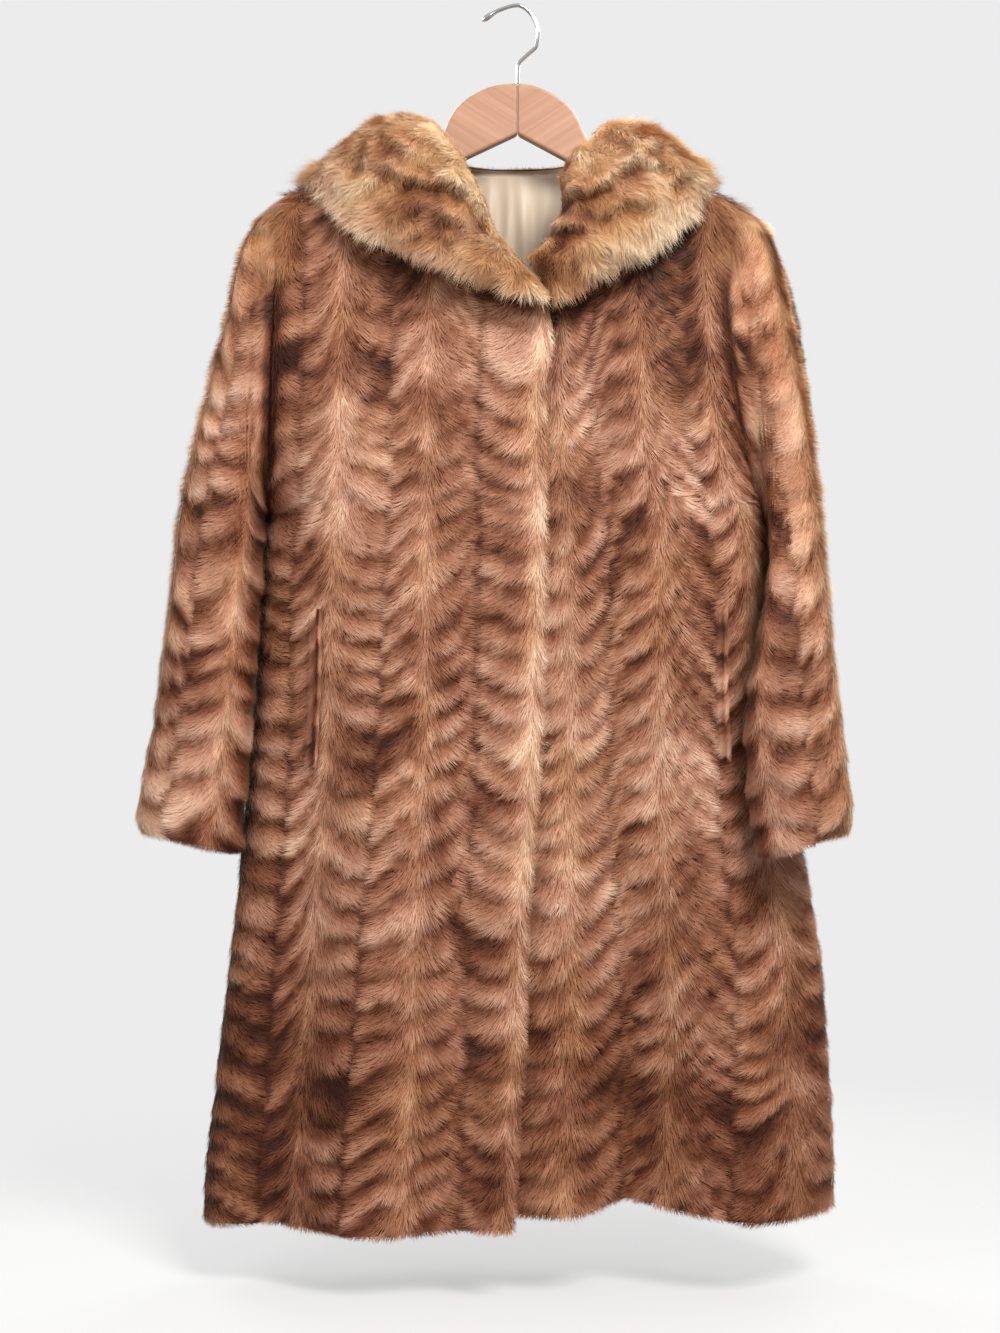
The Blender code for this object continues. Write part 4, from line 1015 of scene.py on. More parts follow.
patches = [
    front_faces_out(skin.points, coat, BACKWARD),
    turned_edge(skin, coat, -1, -2, DOWN),
]
dress("back", skin, coat, patches, locks=172000, seed=3, width=0.80)

# ---------------------------------------------------------------------------
# Sleeves, set in at the armholes: each a tube of three wide strips from the
# shoulder to the cuff, lined with the same satin.
# ---------------------------------------------------------------------------

SleeveRow = namedtuple("SleeveRow", "x_out y_out z_out x_in y_in z_in half_depth turn")
SLEEVES = {
    -1: table(SleeveRow, (
        (-248, 0, -206, -244, -4, -495, 55, 0.08),
        (-263, -2, -238, -246, -8, -510, 54, 0.04),
        (-277, -8, -303, -247, -12, -532, 52, 0.0),
        (-294, -12, -368, -248, -16, -560, 51, 0.0),
        (-309, -15, -433, -249, -18, -594, 50, 0.0),
        (-323, -18, -506, -251, -20, -636, 49, 0.0),
        (-332, -20, -590, -256, -22, -686, 48, 0.0),
        (-345, -20, -682, -262, -22, -744, 48, 0.0),
        (-360, -20, -772, -268, -22, -796, 50, 0.0),
        (-357, -20, -788, -268, -22, -806, 48, 0.0),
    )),
    1: table(SleeveRow, (
        (236, 0, -207, 246, -3, -498, 54, -0.42),
        (249, -4, -238, 249, -14, -514, 52, -0.42),
        (262, -10, -303, 247, -32, -536, 50, -0.40),
        (272, -20, -361, 240, -52, -564, 47, -0.36),
        (278, -34, -420, 229, -70, -598, 44, -0.30),
        (284, -52, -490, 218, -86, -640, 42, -0.20),
        (290, -70, -586, 212, -92, -694, 41, -0.08),
        (298, -82, -690, 218, -92, -750, 41, 0.0),
        (306, -87, -768, 226, -92, -796, 43, 0.0),
        (303, -87, -784, 227, -92, -804, 41, 0.0),
    )),
}
SLEEVE_STRIPS = 3
FIRST_RIDGE = {-1: math.radians(8), 1: math.radians(25)}
ARMHOLE_RINGS = 8
LENGTH_STEPS = 8
ROUND_STEPS = 56
GIRTH = 290.0


def sleeve_skin(side):
    """Pelt and lining of a sleeve, ring by ring from the armhole to the cuff."""
    angles = np.arange(ROUND_STEPS) * 2 * math.pi / ROUND_STEPS
    hole = ARMHOLES[side]
    top = SleeveRow(hole.x_top, 0, hole.z_top + WALL, hole.x_bottom + side * WALL, 0,
                    hole.z_bottom - WALL, hole.half_depth + WALL, hole.turn)
    rows = (top,) + SLEEVES[side]
    steps = np.linspace(0, len(rows) - 1, (len(rows) - 1) * LENGTH_STEPS + 1)
    read = read_rows(rows, steps)
    outer, spokes = [], []
    turned = (angles - FIRST_RIDGE[side]) * SLEEVE_STRIPS
    by_body = ease((-np.cos(angles) - 0.7) / 0.3)
    full = (1 - by_body) * np.cos(turned) + 1.5 * by_body
    for i, step in enumerate(steps):
        far = np.array([read.x_out[i], read.y_out[i], read.z_out[i]])
        near = np.array([read.x_in[i], read.y_in[i], read.z_in[i]])
        half = np.linalg.norm(far - near) / 2
        along = (far - near) / (2 * half)
        across = np.array([side * read.turn[i], -1.0, 0.0])
        across -= along * np.dot(across, along)
        across /= abs(across[1])
        up = np.cos(angles)[:, None]
        out = np.sin(angles)
        out = (np.sign(out) * np.abs(out) ** OVAL)[:, None]
        plump = (full + 0.8 * by_body * ease((step - 5) / 2))[:, None] * RIDGE * min(1.0, step / 3)
        ring = along * up * (half + plump) + across * out * (read.half_depth[i] + plump)
        outer.append((far + near) / 2 + ring)
        spokes.append(along * up * read.half_depth[i] + across * out * half)
    outer[0] = armhole_ring(side, angles, WALL)
    outer = np.array(outer)
    around = np.roll(outer, -1, axis=1) - np.roll(outer, 1, axis=1)
    normals = unit(np.cross(around, np.gradient(outer, axis=0)))
    spokes = unit(np.array(spokes))
    normals *= np.sign(np.sum(normals * spokes, axis=(1, 2)))[:, None, None]
    settled = ease((steps - ARMHOLE_RINGS / 2) / (ARMHOLE_RINGS / 2))[:, None, None]
    through = unit(normals * settled + spokes * (2 - settled))
    lining = outer - through * WALL
    lining[0] = armhole_ring(side, angles, 0.0)
    stands = HAIR_STANDS * (1 - 0.9 * by_body)[None, :, None]
    points = outer - through * stands
    points[0] = armhole_ring(side, angles, WALL - HAIR_STANDS)
    shift = np.array([side * SEAM_GAP, 0, 0])
    from_ridge = np.abs((turned / math.pi + 1) % 2 - 1)
    towards = np.where(np.sin(turned) >= 0, 1, -1)
    strip = np.round(turned / (2 * math.pi)).astype(int) % SLEEVE_STRIPS
    half_width = np.full(ROUND_STEPS, GIRTH / (2 * SLEEVE_STRIPS))
    away = np.linalg.norm(points - points[:1], axis=2)
    groove = np.exp(-(away / SLEEVE_GROOVE) ** 2) * over_shoulder(points[0, :, 2])[None, :]
    dip = SEAM_DIP * groove * above_underarm(points[0, :, 2])[None, :]
    points = points - through * dip[:, :, None]
    return Skin(points + shift, through, lining + shift, from_ridge, towards, strip, half_width, groove)


def close_round(values):
    return np.concatenate([values, values[:, :1]], axis=1)


def cuff_rim(skin, coat):
    """The turned edge at the cuff."""
    row = Coat(*(np.concatenate([v[-1], v[-1, :1]]) for v in coat))
    rows = [np.concatenate([g, g[:1]]) for g in (skin.points[-1], skin.lining[-1], skin.points[-3])]
    return front_faces_out(*rim(*rows, row), DOWN)


# The outer side of each sleeve is painted paler and more golden, a painted
# rim light; the side by the body is painted darker, a painted shade.
facing_out = np.cos(np.arange(ROUND_STEPS) * 2 * math.pi / ROUND_STEPS)
painted_rim_light = np.clip(facing_out, 0, 1) ** 4
by_body = ease((-facing_out - 0.75) / 0.25)
for side, node, seed in ((-1, "sleeve_right", 51), (1, "sleeve_left", 67)):
    skin = sleeve_skin(side)
    coat, skin = lay_coat(skin, seed, golden_shoulders(skin.points) + 0.50 * painted_rim_light[None, :], height=38.0,
                          length=8.0, puff=3.6, slant=0.35, banding=0.42, painted_top_shade=0.0,
                          lengthwise=unit(np.array([0.15 * side, 0.0, -1.0])))
    # Painted rim light on the outer side and painted shade on the side by the body.
    tone = np.clip(coat.tone + (0.15 * painted_rim_light - 0.26 * by_body)[None, :], 0, 1)
    coat = coat._replace(tone=tone, lift=coat.lift + 0.15 * by_body[None, :])
    coat = settle_at_armhole(coat, skin.points, side)
    grid = close_round(skin.points)
    wide = Coat(*(close_round(value) for value in coat))
    centre = skin.points.mean(axis=1, keepdims=True)
    patch = front_faces_out(grid, wide, grid - centre)
    dress(node, skin, coat, [patch, cuff_rim(skin, coat)], locks=106000, seed=seed, every=(1, 1),
          closed_round=True)

# ---------------------------------------------------------------------------
# Shawl collar: one wide band of golden pelt, doubled over and sewn round the
# neck. Its hair is longer than the body's and falls over its lower edge.
# ---------------------------------------------------------------------------

CollarRib = namedtuple("CollarRib", "x_in y_in z_in x_edge y_edge z_edge puff roll wall")
COLLAR_RIBS = table(CollarRib, (
    (26, -84, -284, 24, -88, -292, 1, 1.0, 8),
    (8, -80, -262, -14, -90, -281, 4, 1.0, 12),
    (-25, -72, -226, -60, -88, -261, 9, 0.9, 15),
    (-38, -66, -188, -96, -84, -248, 12, 0.8, 15),
    (-50, -58, -162, -122, -81, -238, 14, 0.7, 15),
    (-66, -46, -138, -150, -72, -219, 17, 0.65, 15),
    (-80, -28, -122, -178, -52, -190, 20, 0.6, 15),
    (-88, 0, -116, -200, -4, -168, 20, 0.6, 15),
    (-80, 26, -123, -188, 46, -186, 17, 0.65, 15),
    (-54, 40, -143, -142, 66, -226, 12, 0.8, 15),
    (0, 42, -148, 0, 70, -250, 11, 0.9, 15),
    (54, 40, -143, 138, 66, -226, 12, 0.9, 15),
    (80, 26, -123, 174, 48, -192, 15, 0.9, 15),
    (88, 0, -118, 180, -4, -170, 17, 0.85, 15),
    (80, -28, -124, 170, -54, -194, 16, 0.85, 15),
    (66, -44, -142, 154, -70, -214, 16, 0.85, 15),
    (52, -54, -166, 130, -76, -236, 14, 0.9, 15),
    (44, -60, -192, 100, -78, -254, 12, 0.9, 15),
    (36, -64, -214, 76, -79, -266, 10, 1.0, 15),
    (26, -68, -237, 54, -81, -279, 7, 1.0, 13),
    (8, -70, -251, 33, -82, -290, 4, 1.0, 9),
))
STEPS_PER_RIB = 10
COLLAR_CLEARANCE = 3.5     # the band is lifted this clear of the coat under it
LIFT_SPREAD = 24           # rounds of smoothing of that lift
BEHIND_FACE = -0.9         # cosine of the way to a face that is seen from within
NECK_CENTRE = (0.0, 0.0, -260.0)
CHEST_CENTRE = (0.0, 0.0, -330.0)
# Places across the band, from the neck seam out to its hanging edge.
COLLAR_SHARES = (0.0, 0.02, 0.045, 0.07) + tuple(np.linspace(0.105, 1.0, 22))

# Creases where the doubled band buckles: from one spot to the next as seen from
# the front, in mm, with their depth and width. The wearer's right half first.
Crease = namedtuple("Crease", "x1 z1 x2 z2 depth width")
COLLAR_CREASES = table(Crease, (
    (-128, -136, -109, -155, 3.0, 5), (-133, -169, -102, -190, 5.0, 5),
    (-102, -190, -65, -190, 5.5, 5), (-65, -190, -41, -208, 5.0, 5),
    (-41, -208, -31, -230, 4.0, 4), (-149, -214, -131, -183, 2.5, 6),
    (-100, -216, -65, -221, 3.5, 6), (-84, -140, -66, -166, 2.5, 6),
    (26, -218, 52, -196, 5.0, 4.5), (52, -196, 79, -189, 5.5, 4.5),
    (79, -189, 117, -167, 6.0, 5), (117, -167, 132, -145, 4.0, 5),
    (26, -227, 54, -230, 4.0, 5), (81, -217, 121, -203, 3.0, 6),
    (84, -132, 104, -152, 2.5, 6), (140, -196, 160, -176, 2.5, 5),
))
BACK_CREASES = table(Crease, (
    (-150, -190, -112, -204, 4.5, 6), (-80, -176, -30, -190, 5.0, 6),
    (-6, -206, 38, -196, 4.0, 6), (66, -180, 118, -202, 5.0, 6),
))
# Duller, darker places in the pelt, with their radius in mm.
Dull = namedtuple("Dull", "x z radius")
DULL_PLACES = table(Dull, (
    (-122, -158, 19), (-82, -207, 22), (-48, -226, 15), (103, -177, 23), (56, -206, 19), (38, -226, 12),
))


def solid_wall(node):
    """The surface of a solid, to measure from and to cast rays at."""
    mesh = bpy.data.objects[node].data
    return BVHTree.FromPolygons([v.co for v in mesh.vertices], [tuple(p.vertices) for p in mesh.polygons])


def clearance(spot, wall):
    """Distance of a spot from a solid in mm, negative inside it."""
    near, facing, _, distance = wall.find_nearest(spot)
    behind = (spot - near).dot(facing) < BEHIND_FACE * distance
    return (-distance if behind else distance) / MM


def collar_skin():
    """Under side and hair side of the band, rib by rib, lifted clear of the coat."""
    count = len(COLLAR_RIBS)
    steps = np.linspace(0, count - 1, (count - 1) * STEPS_PER_RIB + 1)
    read = read_rows(COLLAR_RIBS, steps)
    inside = np.stack([read.x_in, read.y_in, read.z_in], axis=-1)
    edge = np.stack([read.x_edge, read.y_edge, read.z_edge], axis=-1)
    share = np.array(COLLAR_SHARES)
    middle = inside[:, None] + share[None, :, None] * (edge - inside)[:, None]

    def outward(grid):
        return turned_to(grid_normals(grid), grid - np.array(NECK_CENTRE))

    swell = np.sin(math.pi * share[None, :] ** read.roll[:, None])
    middle += outward(middle) * (read.puff[:, None] * np.abs(swell))[:, :, None]
    normals = outward(middle)
    round_edges = 0.55 + 0.45 * np.sin(share * math.pi) ** 0.5
    half = read.wall[:, None] / 2 * round_edges[None, :]
    below = middle - normals * half[:, :, None]
    above = middle + normals * half[:, :, None]
    walls = [solid_wall(node) for node in ("front_right", "front_left", "back")]
    lift = np.zeros(below.shape[:2])
    for row, place in np.ndindex(lift.shape):
        spot = Vector(below[row, place] * MM)
        lift[row, place] = max(0.0, COLLAR_CLEARANCE - min(clearance(spot, wall) for wall in walls))
    for _ in range(LIFT_SPREAD):
        wide = np.pad(lift, 1, mode="edge")
        beside = (wide[:-2, 1:-1] + wide[2:, 1:-1] + wide[1:-1, :-2] + wide[1:-1, 2:]) / 4
        lift = np.maximum(lift, beside)
    move = unit(above - below) * lift[:, :, None]
    below += move
    above += move
    thick = np.linalg.norm(above - below, axis=2, keepdims=True)
    above -= unit(above - below) * np.minimum(HAIR_STANDS + 1.0, thick * 0.5)
    return Skin(above, normals, below, share), steps


def buckle(points, creases, face):
    """Depth of the creases at each point, and height of the lip above each."""
    wobble = (mottle(points, 16, 81) - 0.5) * 9
    trough, lip = np.zeros(points.shape[:2]), np.zeros(points.shape[:2])
    for crease in creases:
        along = np.array([crease.x2 - crease.x1, crease.z2 - crease.z1])
        off = np.stack([points[..., 0] - crease.x1, points[..., 2] - crease.z1 + wobble], axis=-1)
        share = np.clip(off @ along / (along @ along), 0, 1)
        off = off - share[..., None] * along
        away = np.linalg.norm(off, axis=-1)
        trough = np.maximum(trough, crease.depth * np.exp(-(away / crease.width) ** 2))
        beside = np.exp(-((away - 1.9 * crease.width) / (1.1 * crease.width)) ** 2)
        lip = np.maximum(lip, 0.7 * crease.depth * beside * (off[..., 1] > 0))
    facing_it = ease(points[..., 1] * face / 25)
    return trough * facing_it, lip * facing_it


skin, steps = collar_skin()
front_trough, front_lip = buckle(skin.points, COLLAR_CREASES, -1)
back_trough, back_lip = buckle(skin.points, BACK_CREASES, 1)
trough, lip = front_trough + back_trough, front_lip + back_lip
dull = np.zeros(trough.shape)
for place in DULL_PLACES:
    away = np.hypot(skin.points[..., 0] - place.x, skin.points[..., 2] - place.z)
    dull = np.maximum(dull, np.exp(-(away / place.radius) ** 2) * (skin.points[..., 1] < 0))
lumps = mottle(skin.points, 20, 87) - 0.5
tufts = mottle(skin.points, 9, 88) - 0.5
relief = lip - 0.7 * trough + 3.4 * lumps + 2.0 * tufts
ends = np.clip(np.minimum(steps, steps[-1] - steps) / 1.5, 0.2, 1)[:, None]
# The hair runs from the neck out over the edge and forward to the two points,
# and curls every way in small tufts.
outward = unit(np.gradient(skin.points, axis=1))
forward = unit(np.gradient(skin.points, axis=0)) * np.sign(steps - 10)[:, None, None]
forward = forward * np.clip(np.abs(steps - 10) / 2, 0, 1)[:, None, None]
turn = 0.45 + 2.6 * (mottle(skin.points, 13, 83) - 0.5) + 1.6 * (mottle(skin.points, 36, 89) - 0.5)
flow = outward * np.cos(turn)[:, :, None] + forward * np.sin(turn)[:, :, None]
flow[:, :, 2] -= 0.15
lengthwise = np.concatenate([[0], np.cumsum(np.linalg.norm(np.diff(skin.points[:, 12], axis=0), axis=1))])
share = np.repeat(skin.from_ridge[None, :], len(steps), axis=0)
lane = np.stack([lengthwise[:, None] - 45 * share, 110 * share, 0 * share], axis=-1)
band = mottle(lane * np.array([1.0, 0.45, 1.0]), 17, 84) - 0.5
cloud = mottle(skin.points, 42, 85) - 0.5
facing = plump_facing(skin, relief)
edges = ease((share - 0.72) / 0.28) + 0.9 * (1 - ease(share / 0.25))
# Paler where the band faces up: painted light from above.
painted_crown_light = ease((skin.out[..., 2] - 0.15) / 0.6)
tone = 0.58 + 0.22 * band + 0.28 * cloud + 0.36 * lumps + 0.42 * tufts + 0.24 * edges + 0.20 * painted_crown_light
# Painted shade in the creases and painted highlight on their lips.
tone = tone - 0.065 * trough + 0.045 * lip - 0.16 * dull
warm = 0.85 - 0.40 * ease((share - 0.74) / 0.26) + 0.4 * cloud - 0.55 * dull
# Painted shadow on the left half's end, where the tip of the right half lies over it.
tone = tone - 0.30 * ease((steps - 18.0) / 1.6)[:, None]
short = 1 - 0.5 * (1 - ease(share / 0.12))
long_edge = 7.0 * ease((share - 0.5) / 0.5)
coat = Coat(unit(flow), facing, lane, (9.5 + long_edge + 5.0 * lumps) * short, 0.30 + 0.4 * (tufts + 0.5),
            np.clip(tone, 0, 1), np.clip(warm, 0, 1), 0.9 + 0 * tone)
skin = skin._replace(points=raised(skin, relief * ends))
patches = [
    front_faces_out(skin.points, coat, skin.points - np.array(CHEST_CENTRE)),
    turned_edge(skin, coat, np.s_[:, -1], np.s_[:, -2], DOWN, 0.3),
    turned_edge(skin, coat, np.s_[:, 0], np.s_[:, 1], UP),
    turned_edge(skin, coat, 0, 1, (1.0, 0.0, -1.0), 0.2),
    turned_edge(skin, coat, -1, -2, (-1.0, 0.0, -1.0), 0.2),
]
golden_hair = hair_material("golden collar hair", 0.17)
golden_pelt = pelt_material("golden underfur")
dress("collar", skin, coat, patches, locks=130000, seed=5,
      looks=(golden_pelt, golden_hair), every=(2, 2), untidy=0.34)

# ---------------------------------------------------------------------------
# Pocket mouths: two slits in the fronts. The hair beside each slit runs
# straight down over a narrow lip that is sewn along it.
# ---------------------------------------------------------------------------

# Across the lip, in mm from its middle, and how much darker its hair is there
# than the hair beside it: the slit's dark line is painted shade, a little paler on its right.
LIP_COLUMNS = (-3.4, -2.0, -0.8, 0.0, 0.8, 2.0, 3.4)
SLIT_PAINTED_SHADE = (0.0, 0.10, 0.40, 0.48, 0.36, -0.08, -0.04)
LIP_ROWS = 40
LIP_DEPTH = 2.4        # the hair's roots lie this deep in the lip


def pocket_lip(node):
    """A narrow skin over the lip's own solid, from its top to its bottom."""
    low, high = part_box(node)
    wall = solid_wall(node)
    lip = bpy.data.objects[node].data
    spots = np.zeros(len(lip.vertices) * 3)
    lip.vertices.foreach_get("co", spots)
    spots = spots.reshape(-1, 3) / MM
    rows = []
    for z in np.linspace(high[2] / MM - 1, low[2] / MM + 2, LIP_ROWS):
        near = spots[np.abs(spots[:, 2] - z) < 14]
        middle = (near[:, 0].min() + near[:, 0].max()) / 2
        row = []
        for offset in LIP_COLUMNS:
            hit, _, _, _ = wall.ray_cast(Vector(((middle + offset) * MM, -1, z * MM)), Vector((0, 1, 0)))
            y = hit[1] / MM if hit else near[:, 1].min() + 2
            row.append((middle + offset, y + LIP_DEPTH, z))
        rows.append(row)
    return np.array(rows)


for node, seed, openness in (("pocket_lip_right", 91, 1.0), ("pocket_lip_left", 92, 0.6)):
    grid = pocket_lip(node)
    rows, columns = grid.shape[:2]
    flow = np.zeros(grid.shape)
    away = np.array(LIP_COLUMNS)[None, :] / 3.8
    flow[:, :, 0] = 0.5 * away + 0.5 * (mottle(grid, 22, seed + 1) - 0.5)
    flow[:, :, 2] = -1.0
    facing = np.zeros(grid.shape)
    facing[:, :, 0] = 0.35 * away
    facing[:, :, 1] = -1.0
    pelt, beside = coats[node]
    nearest = KDTree(pelt.shape[0] * pelt.shape[1])
    for i, spot in enumerate(pelt.reshape(-1, 3)):
        nearest.insert(spot, i)
    nearest.balance()
    picks = np.array([nearest.find(spot)[1] for spot in grid.reshape(-1, 3)])
    tone, warm = (value.ravel()[picks].reshape(rows, columns) for value in (beside.tone, beside.warm))
    open_here = (0.45 + 0.9 * mottle(grid, 24, seed + 2)) * openness
    # Painted shade in the slit, deeper where it gapes.
    tone = tone - np.array(SLIT_PAINTED_SHADE)[None, :] * open_here
    flow = 0.5 * flow + 0.5 * beside.flow.reshape(-1, 3)[picks].reshape(grid.shape)
    facing = 0.5 * facing + 0.5 * beside.facing.reshape(-1, 3)[picks].reshape(grid.shape)
    length = 5.0 + 5.0 * np.abs(away) + 0 * tone
    coat = Coat(unit(flow), unit(facing), grid, length, 0.12 + 0 * tone, tone, warm, 0.7 + 0 * tone)
    patches = [front_faces_out(grid, coat, FORWARD)]
    hair = grow_hair(node + "_hair", patches, brown_hair, locks=3600, seed=seed)
    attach(hair, "root")
    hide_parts(node)

bpy.data.objects.remove(lock)

# ---------------------------------------------------------------------------
# Back neck lining: cream satin, eased in, so it hangs in soft upright folds
# below the neckline. It is the part of the lining that shows.
# ---------------------------------------------------------------------------

# Upright folds: where each starts, how far it leans by the bottom, its height
# and its width, in mm.
Pleat = namedtuple("Pleat", "x lean height width")
PLEATS = table(Pleat, (
    (-52, 6, 3.0, 7), (-30, 10, 4.5, 6), (-12, 5, 3.5, 5), (5, -2, 5.5, 8), (27, -6, 3.5, 6),
    (43, -14, 4.5, 7), (64, -12, 3.0, 8),
))
LINING_COLUMNS, LINING_ROWS = 90, 40
INSET = 0.001                              # metres, as are the next two
FACE_BEFORE, BACK_BEFORE = 0.0012, 0.0002  # how far the satin lies before its solid
low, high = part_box("lining_back")
wall = solid_wall("lining_back")
front_side, back_side = [], []
for z in np.linspace(high[2] - INSET, low[2] + INSET, LINING_ROWS):
    front_row, back_row = [], []
    for x in np.linspace(low[0] + INSET, high[0] - INSET, LINING_COLUMNS):
        hit, _, _, _ = wall.ray_cast(Vector((x, -0.5, z)), Vector((0, 1, 0)))
        y = hit[1] if hit else high[1]
        down = (high[2] - z) / (high[2] - low[2])
        fold = 0.0
        for pleat in PLEATS:
            middle = pleat.x + pleat.lean * down + 3 * math.sin(9 * down + pleat.x)
            fold += pleat.height * math.exp(-((x / MM - middle) / pleat.width) ** 2)
        fold *= MM * min(1, down * 5)
        front_row.append((x, y - FACE_BEFORE - fold, z))
        back_row.append((x, y - BACK_BEFORE - fold, z))
    front_side.append(front_row)
    back_side.append(back_row)
folds = Skin(np.array(front_side) / MM, 0 * np.array(front_side), np.array(back_side) / MM)
plain = Coat(*(np.zeros((LINING_ROWS, LINING_COLUMNS)) for _ in Coat._fields))
lining = pelt_shell("lining_satin", folds, plain, lining_satin, (1, 1))
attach(lining, "root")
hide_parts("lining_back")

# ---------------------------------------------------------------------------
# Furrier's hooks and eyes: two pairs of bent steel wire wound with thread, sewn
# under the upper front's edge, at the neck and at the waist.
# ---------------------------------------------------------------------------


def wire_steel(name, colour, roughness, scratch):
    """Drawn steel wire: a metal, with faint draw marks along it."""
    made, tree, output = new_material(name)
    place = add_node(tree, "ShaderNodeTexCoord").outputs["Object"]
    marks = add_node(tree, "ShaderNodeTexNoise", {"Vector": place, "Scale": 900.0, "Detail": 2.0})
    rough = add_node(tree, "ShaderNodeMapRange", {0: marks, 3: roughness - scratch, 4: roughness + scratch})
    shader = add_node(tree, "ShaderNodeBsdfPrincipled", {
        "Base Color": (*linear(colour), 1.0), "Metallic": 1.0, "Roughness": rough})
    tree.links.new(shader.outputs[0], output.inputs[0])
    return made


def give(node, look):
    """A piece gets its look; a solid that is carried over keeps its own shape."""
    solid = bpy.data.objects[node]
    solid.data.materials.clear()
    solid.data.materials.append(look)


fastener_wire = wire_steel("fastener wire", "#7d6f5f", 0.5, 0.08)
for node in ("closure_hook_neck", "closure_eye_neck", "closure_hook_waist", "closure_eye_waist"):
    give(node, fastener_wire)

# ---------------------------------------------------------------------------
# Hanger: two arms cut from pale laminated beech, mitred and glued at the
# middle, with rounded edges under a satin varnish.
# ---------------------------------------------------------------------------


def beech(name, slant):
    """Laminated beech: straight fine grain along the arm, in 3 mm layers, with
    short dark flecks, under satin varnish."""
    made, tree, output = new_material(name)
    place = add_node(tree, "ShaderNodeTexCoord").outputs["Object"]
    turned = add_node(tree, "ShaderNodeMapping", {
        "Vector": place, "Rotation": (0.0, math.radians(slant), 0.0)})
    along = add_node(tree, "ShaderNodeMapping", {"Vector": turned, "Scale": (7.0, 330.0, 330.0)})
    grain = add_node(tree, "ShaderNodeTexNoise", {"Vector": along, "Scale": 1.0, "Detail": 4.0})
    broad = add_node(tree, "ShaderNodeMapping", {"Vector": turned, "Scale": (3.0, 40.0, 60.0)})
    layer = add_node(tree, "ShaderNodeTexNoise", {"Vector": broad, "Scale": 1.0, "Detail": 1.0})
    mixed = add_node(tree, "ShaderNodeMath", {0: grain, 1: 0.55}, operation="MULTIPLY")
    mixed = add_node(tree, "ShaderNodeMath", {0: layer, 1: 0.45, 2: mixed}, operation="MULTIPLY_ADD")
    tint = add_node(tree, "ShaderNodeValToRGB", {0: mixed},
                    stops=((0.3, "#93694f"), (0.48, "#a3765b"), (0.7, "#b2876d")))
    bump = add_node(tree, "ShaderNodeBump", {"Height": grain, "Strength": 0.1, "Distance": 0.0004})
    shader = add_node(tree, "ShaderNodeBsdfPrincipled", {
        "Base Color": tint, "Roughness": 0.42, "Coat Weight": 0.3, "Coat Roughness": 0.3, "Normal": bump})
    tree.links.new(shader.outputs[0], output.inputs[0])
    return made


give("hanger_arm_right", beech("beech, grain down to the right arm", -32))
give("hanger_arm_left", beech("beech, grain down to the left arm", 32))

# ---------------------------------------------------------------------------
# Hanger hook: 3.8 mm steel wire, polished, bent to a swan neck and screwed
# into the wood, with its end rounded to a ball.
# ---------------------------------------------------------------------------

HOOK_ROUTE = table(Spot, (
    (0, -73.6), (0.5, -56), (8, -47), (18, -37), (20, -25), (14.5, -8.5),
    (0, 1.9), (-17, -2.5), (-34, -13),
))
WIRE_RADIUS = 1.9
# The ball at the wire's end, counted back from its last point.
BALL_STEPS = (-8, -6, -4, -2, -1, 0)
BALL_RADII = (1.0, 1.2, 1.5, 1.45, 1.2, 0.5)


def hook_mesh():
    """Round wire along the route, with rounded ends and the ball."""
    bends = len(HOOK_ROUTE) - 1
    steps = np.linspace(0, bends, bends * 10 + 1)
    route = read_rows(HOOK_ROUTE, steps)
    curve = bpy.data.curves.new("hook wire", "CURVE")
    curve.dimensions = "3D"
    curve.bevel_depth = WIRE_RADIUS * MM
    curve.bevel_resolution = 5
    curve.use_fill_caps = True
    spline = curve.splines.new("POLY")
    spline.points.add(len(steps) - 1)
    for i, point in enumerate(spline.points):
        point.co = (route.x[i] * MM, 0.0, route.z[i] * MM, 1.0)
        point.radius = float(np.interp(i - len(steps) + 1, BALL_STEPS, BALL_RADII))
    made = link(bpy.data.objects.new("hook wire", curve))
    mesh = bpy.data.meshes.new_from_object(made.evaluated_get(bpy.context.evaluated_depsgraph_get()))
    bpy.data.objects.remove(made)
    turn_faces_out(mesh, sharp=40, weld=0.00001)
    return mesh


polished_steel = wire_steel("polished steel", "#d6d6d8", 0.12, 0.03)
hook = link(bpy.data.objects.new("hook_wire", hook_mesh()))
give(hook.name, polished_steel)
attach(hook, "root")
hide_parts("hanger_hook")

# ---------------------------------------------------------------------------
# Floor, light and camera: a pale floor just under the hem, one large soft light
# high on the right, a weak one on the left, two behind, and a pale room.
# ---------------------------------------------------------------------------


def floor_look():
    """Matt pale paint that fades out into the room around."""
    made, tree, output = new_material("pale floor")
    place = add_node(tree, "ShaderNodeTexCoord").outputs["Object"]
    far = add_node(tree, "ShaderNodeVectorMath", {0: place}, operation="LENGTH").outputs["Value"]
    fade = add_node(tree, "ShaderNodeMapRange", {0: far, 1: 0.6, 2: 1.7, 3: 0.0, 4: 1.0})
    paint = add_node(tree, "ShaderNodeBsdfDiffuse", {"Color": (*linear("#dddddd"), 1.0)})
    clear = add_node(tree, "ShaderNodeBsdfTransparent")
    mix = add_node(tree, "ShaderNodeMixShader", {0: fade, 1: paint, 2: clear})
    tree.links.new(mix.outputs[0], output.inputs[0])
    return made


FLOOR_HEIGHT = -1.22   # metres
FLOOR_RADIUS = 1.8
build = bmesh.new()
bmesh.ops.create_circle(build, cap_ends=True, segments=96, radius=FLOOR_RADIUS)
bmesh.ops.translate(build, verts=build.verts, vec=(0, 0, FLOOR_HEIGHT))
mesh = bpy.data.meshes.new("floor")
build.to_mesh(mesh)
build.free()
mesh.materials.append(floor_look())
floor = link(bpy.data.objects.new("floor", mesh))

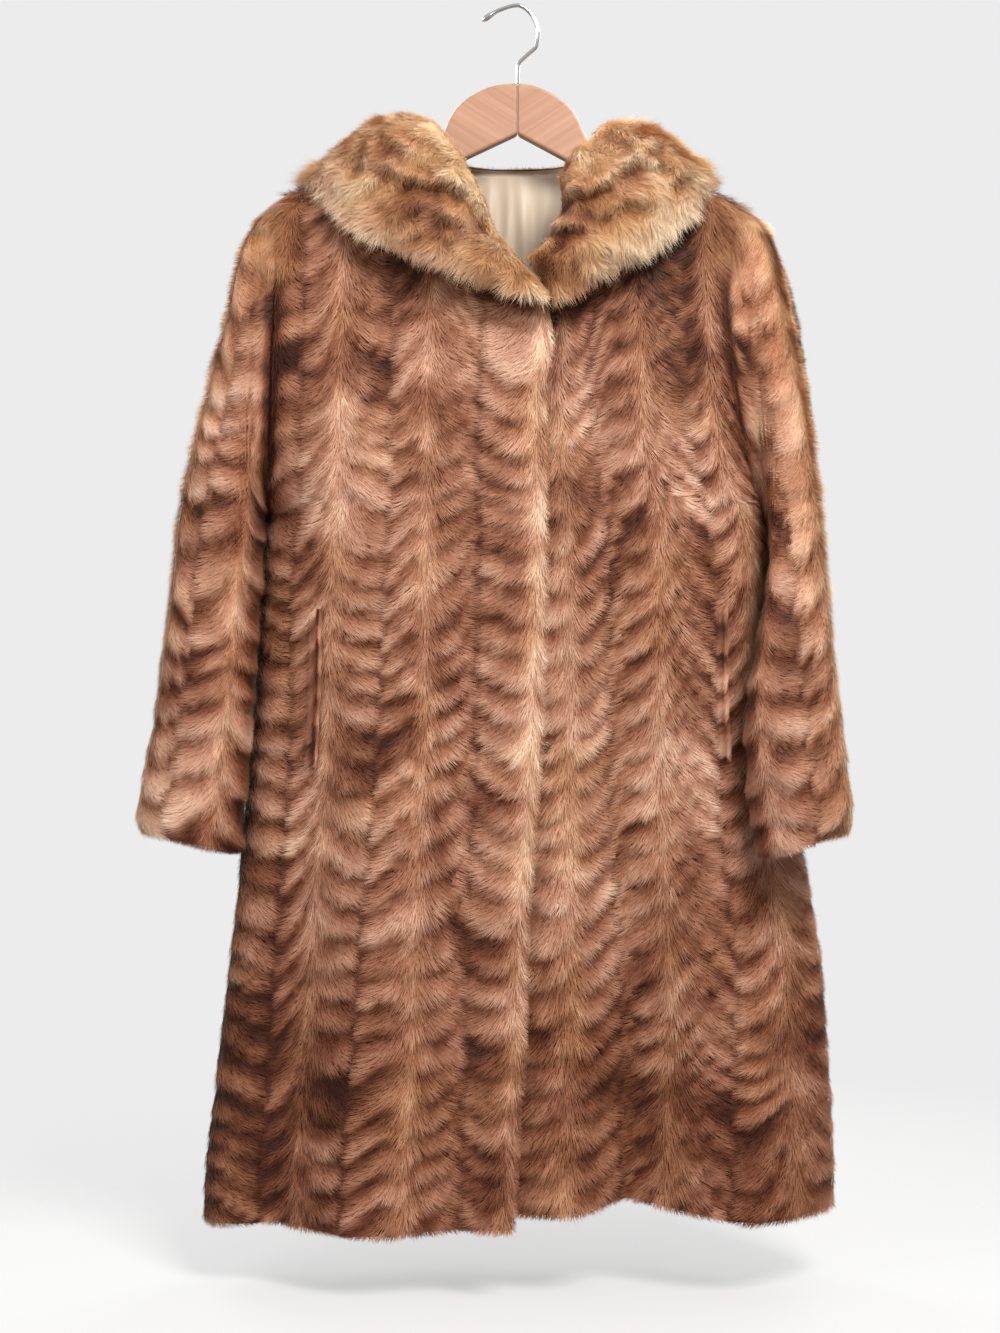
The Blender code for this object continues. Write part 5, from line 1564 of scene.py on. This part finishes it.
world = bpy.data.worlds.new("pale room")
bpy.context.scene.world = world
world.use_nodes = True
room = world.node_tree
way = add_node(room, "ShaderNodeTexCoord").outputs["Generated"]
height = add_node(room, "ShaderNodeSeparateXYZ", {0: way}).outputs["Z"]
lit = add_node(room, "ShaderNodeMapRange", {0: height, 1: -0.6, 2: 0.3, 3: 0.25, 4: 0.72}).outputs[0]
seen = add_node(room, "ShaderNodeLightPath").outputs["Is Camera Ray"]
strength = add_node(room, "ShaderNodeMix", {"Factor": seen, 2: lit, 3: 1.0}).outputs[0]
room.nodes["Background"].inputs[0].default_value = (*linear("#ececec"), 1.0)
room.links.new(strength, room.nodes["Background"].inputs[1])


def soft_light(name, place, target, size, power, colour):
    lamp = bpy.data.lights.new(name, "AREA")
    lamp.shape = "SQUARE"
    lamp.size = size
    lamp.energy = power
    lamp.color = colour
    made = link(bpy.data.objects.new(name, lamp))
    made.location = place
    made.rotation_euler = (Vector(target) - Vector(place)).to_track_quat("-Z", "Y").to_euler()


soft_light("key light", (0.9, -2.0, 1.3), (0, 0, -0.50), 1.0, 108.0, (1.0, 0.98, 0.95))
soft_light("fill light", (-1.8, -1.6, 0.1), (0, 0, -0.6), 1.5, 22.0, (0.98, 0.99, 1.0))
soft_light("right back light", (1.2, 1.9, 0.8), (0, 0, -0.5), 1.2, 22.0, (1.0, 1.0, 1.0))
soft_light("left back light", (-1.3, 1.8, 0.8), (0, 0, -0.5), 1.2, 22.0, (1.0, 1.0, 1.0))

VIEW_HEIGHT = 1.28     # metres of the upright frame at the coat
VIEW_DISTANCE = 2.2
SENSOR = 36.0          # mm
lens = bpy.data.cameras.new("camera")
lens.sensor_width = SENSOR
lens.lens = SENSOR * VIEW_DISTANCE / VIEW_HEIGHT
camera = link(bpy.data.objects.new("camera", lens))
camera.location = (-0.0168, -VIEW_DISTANCE, -0.633)
camera.rotation_euler = (math.radians(90), 0, 0)
bpy.context.scene.camera = camera
bpy.context.scene.view_settings.view_transform = "Standard"
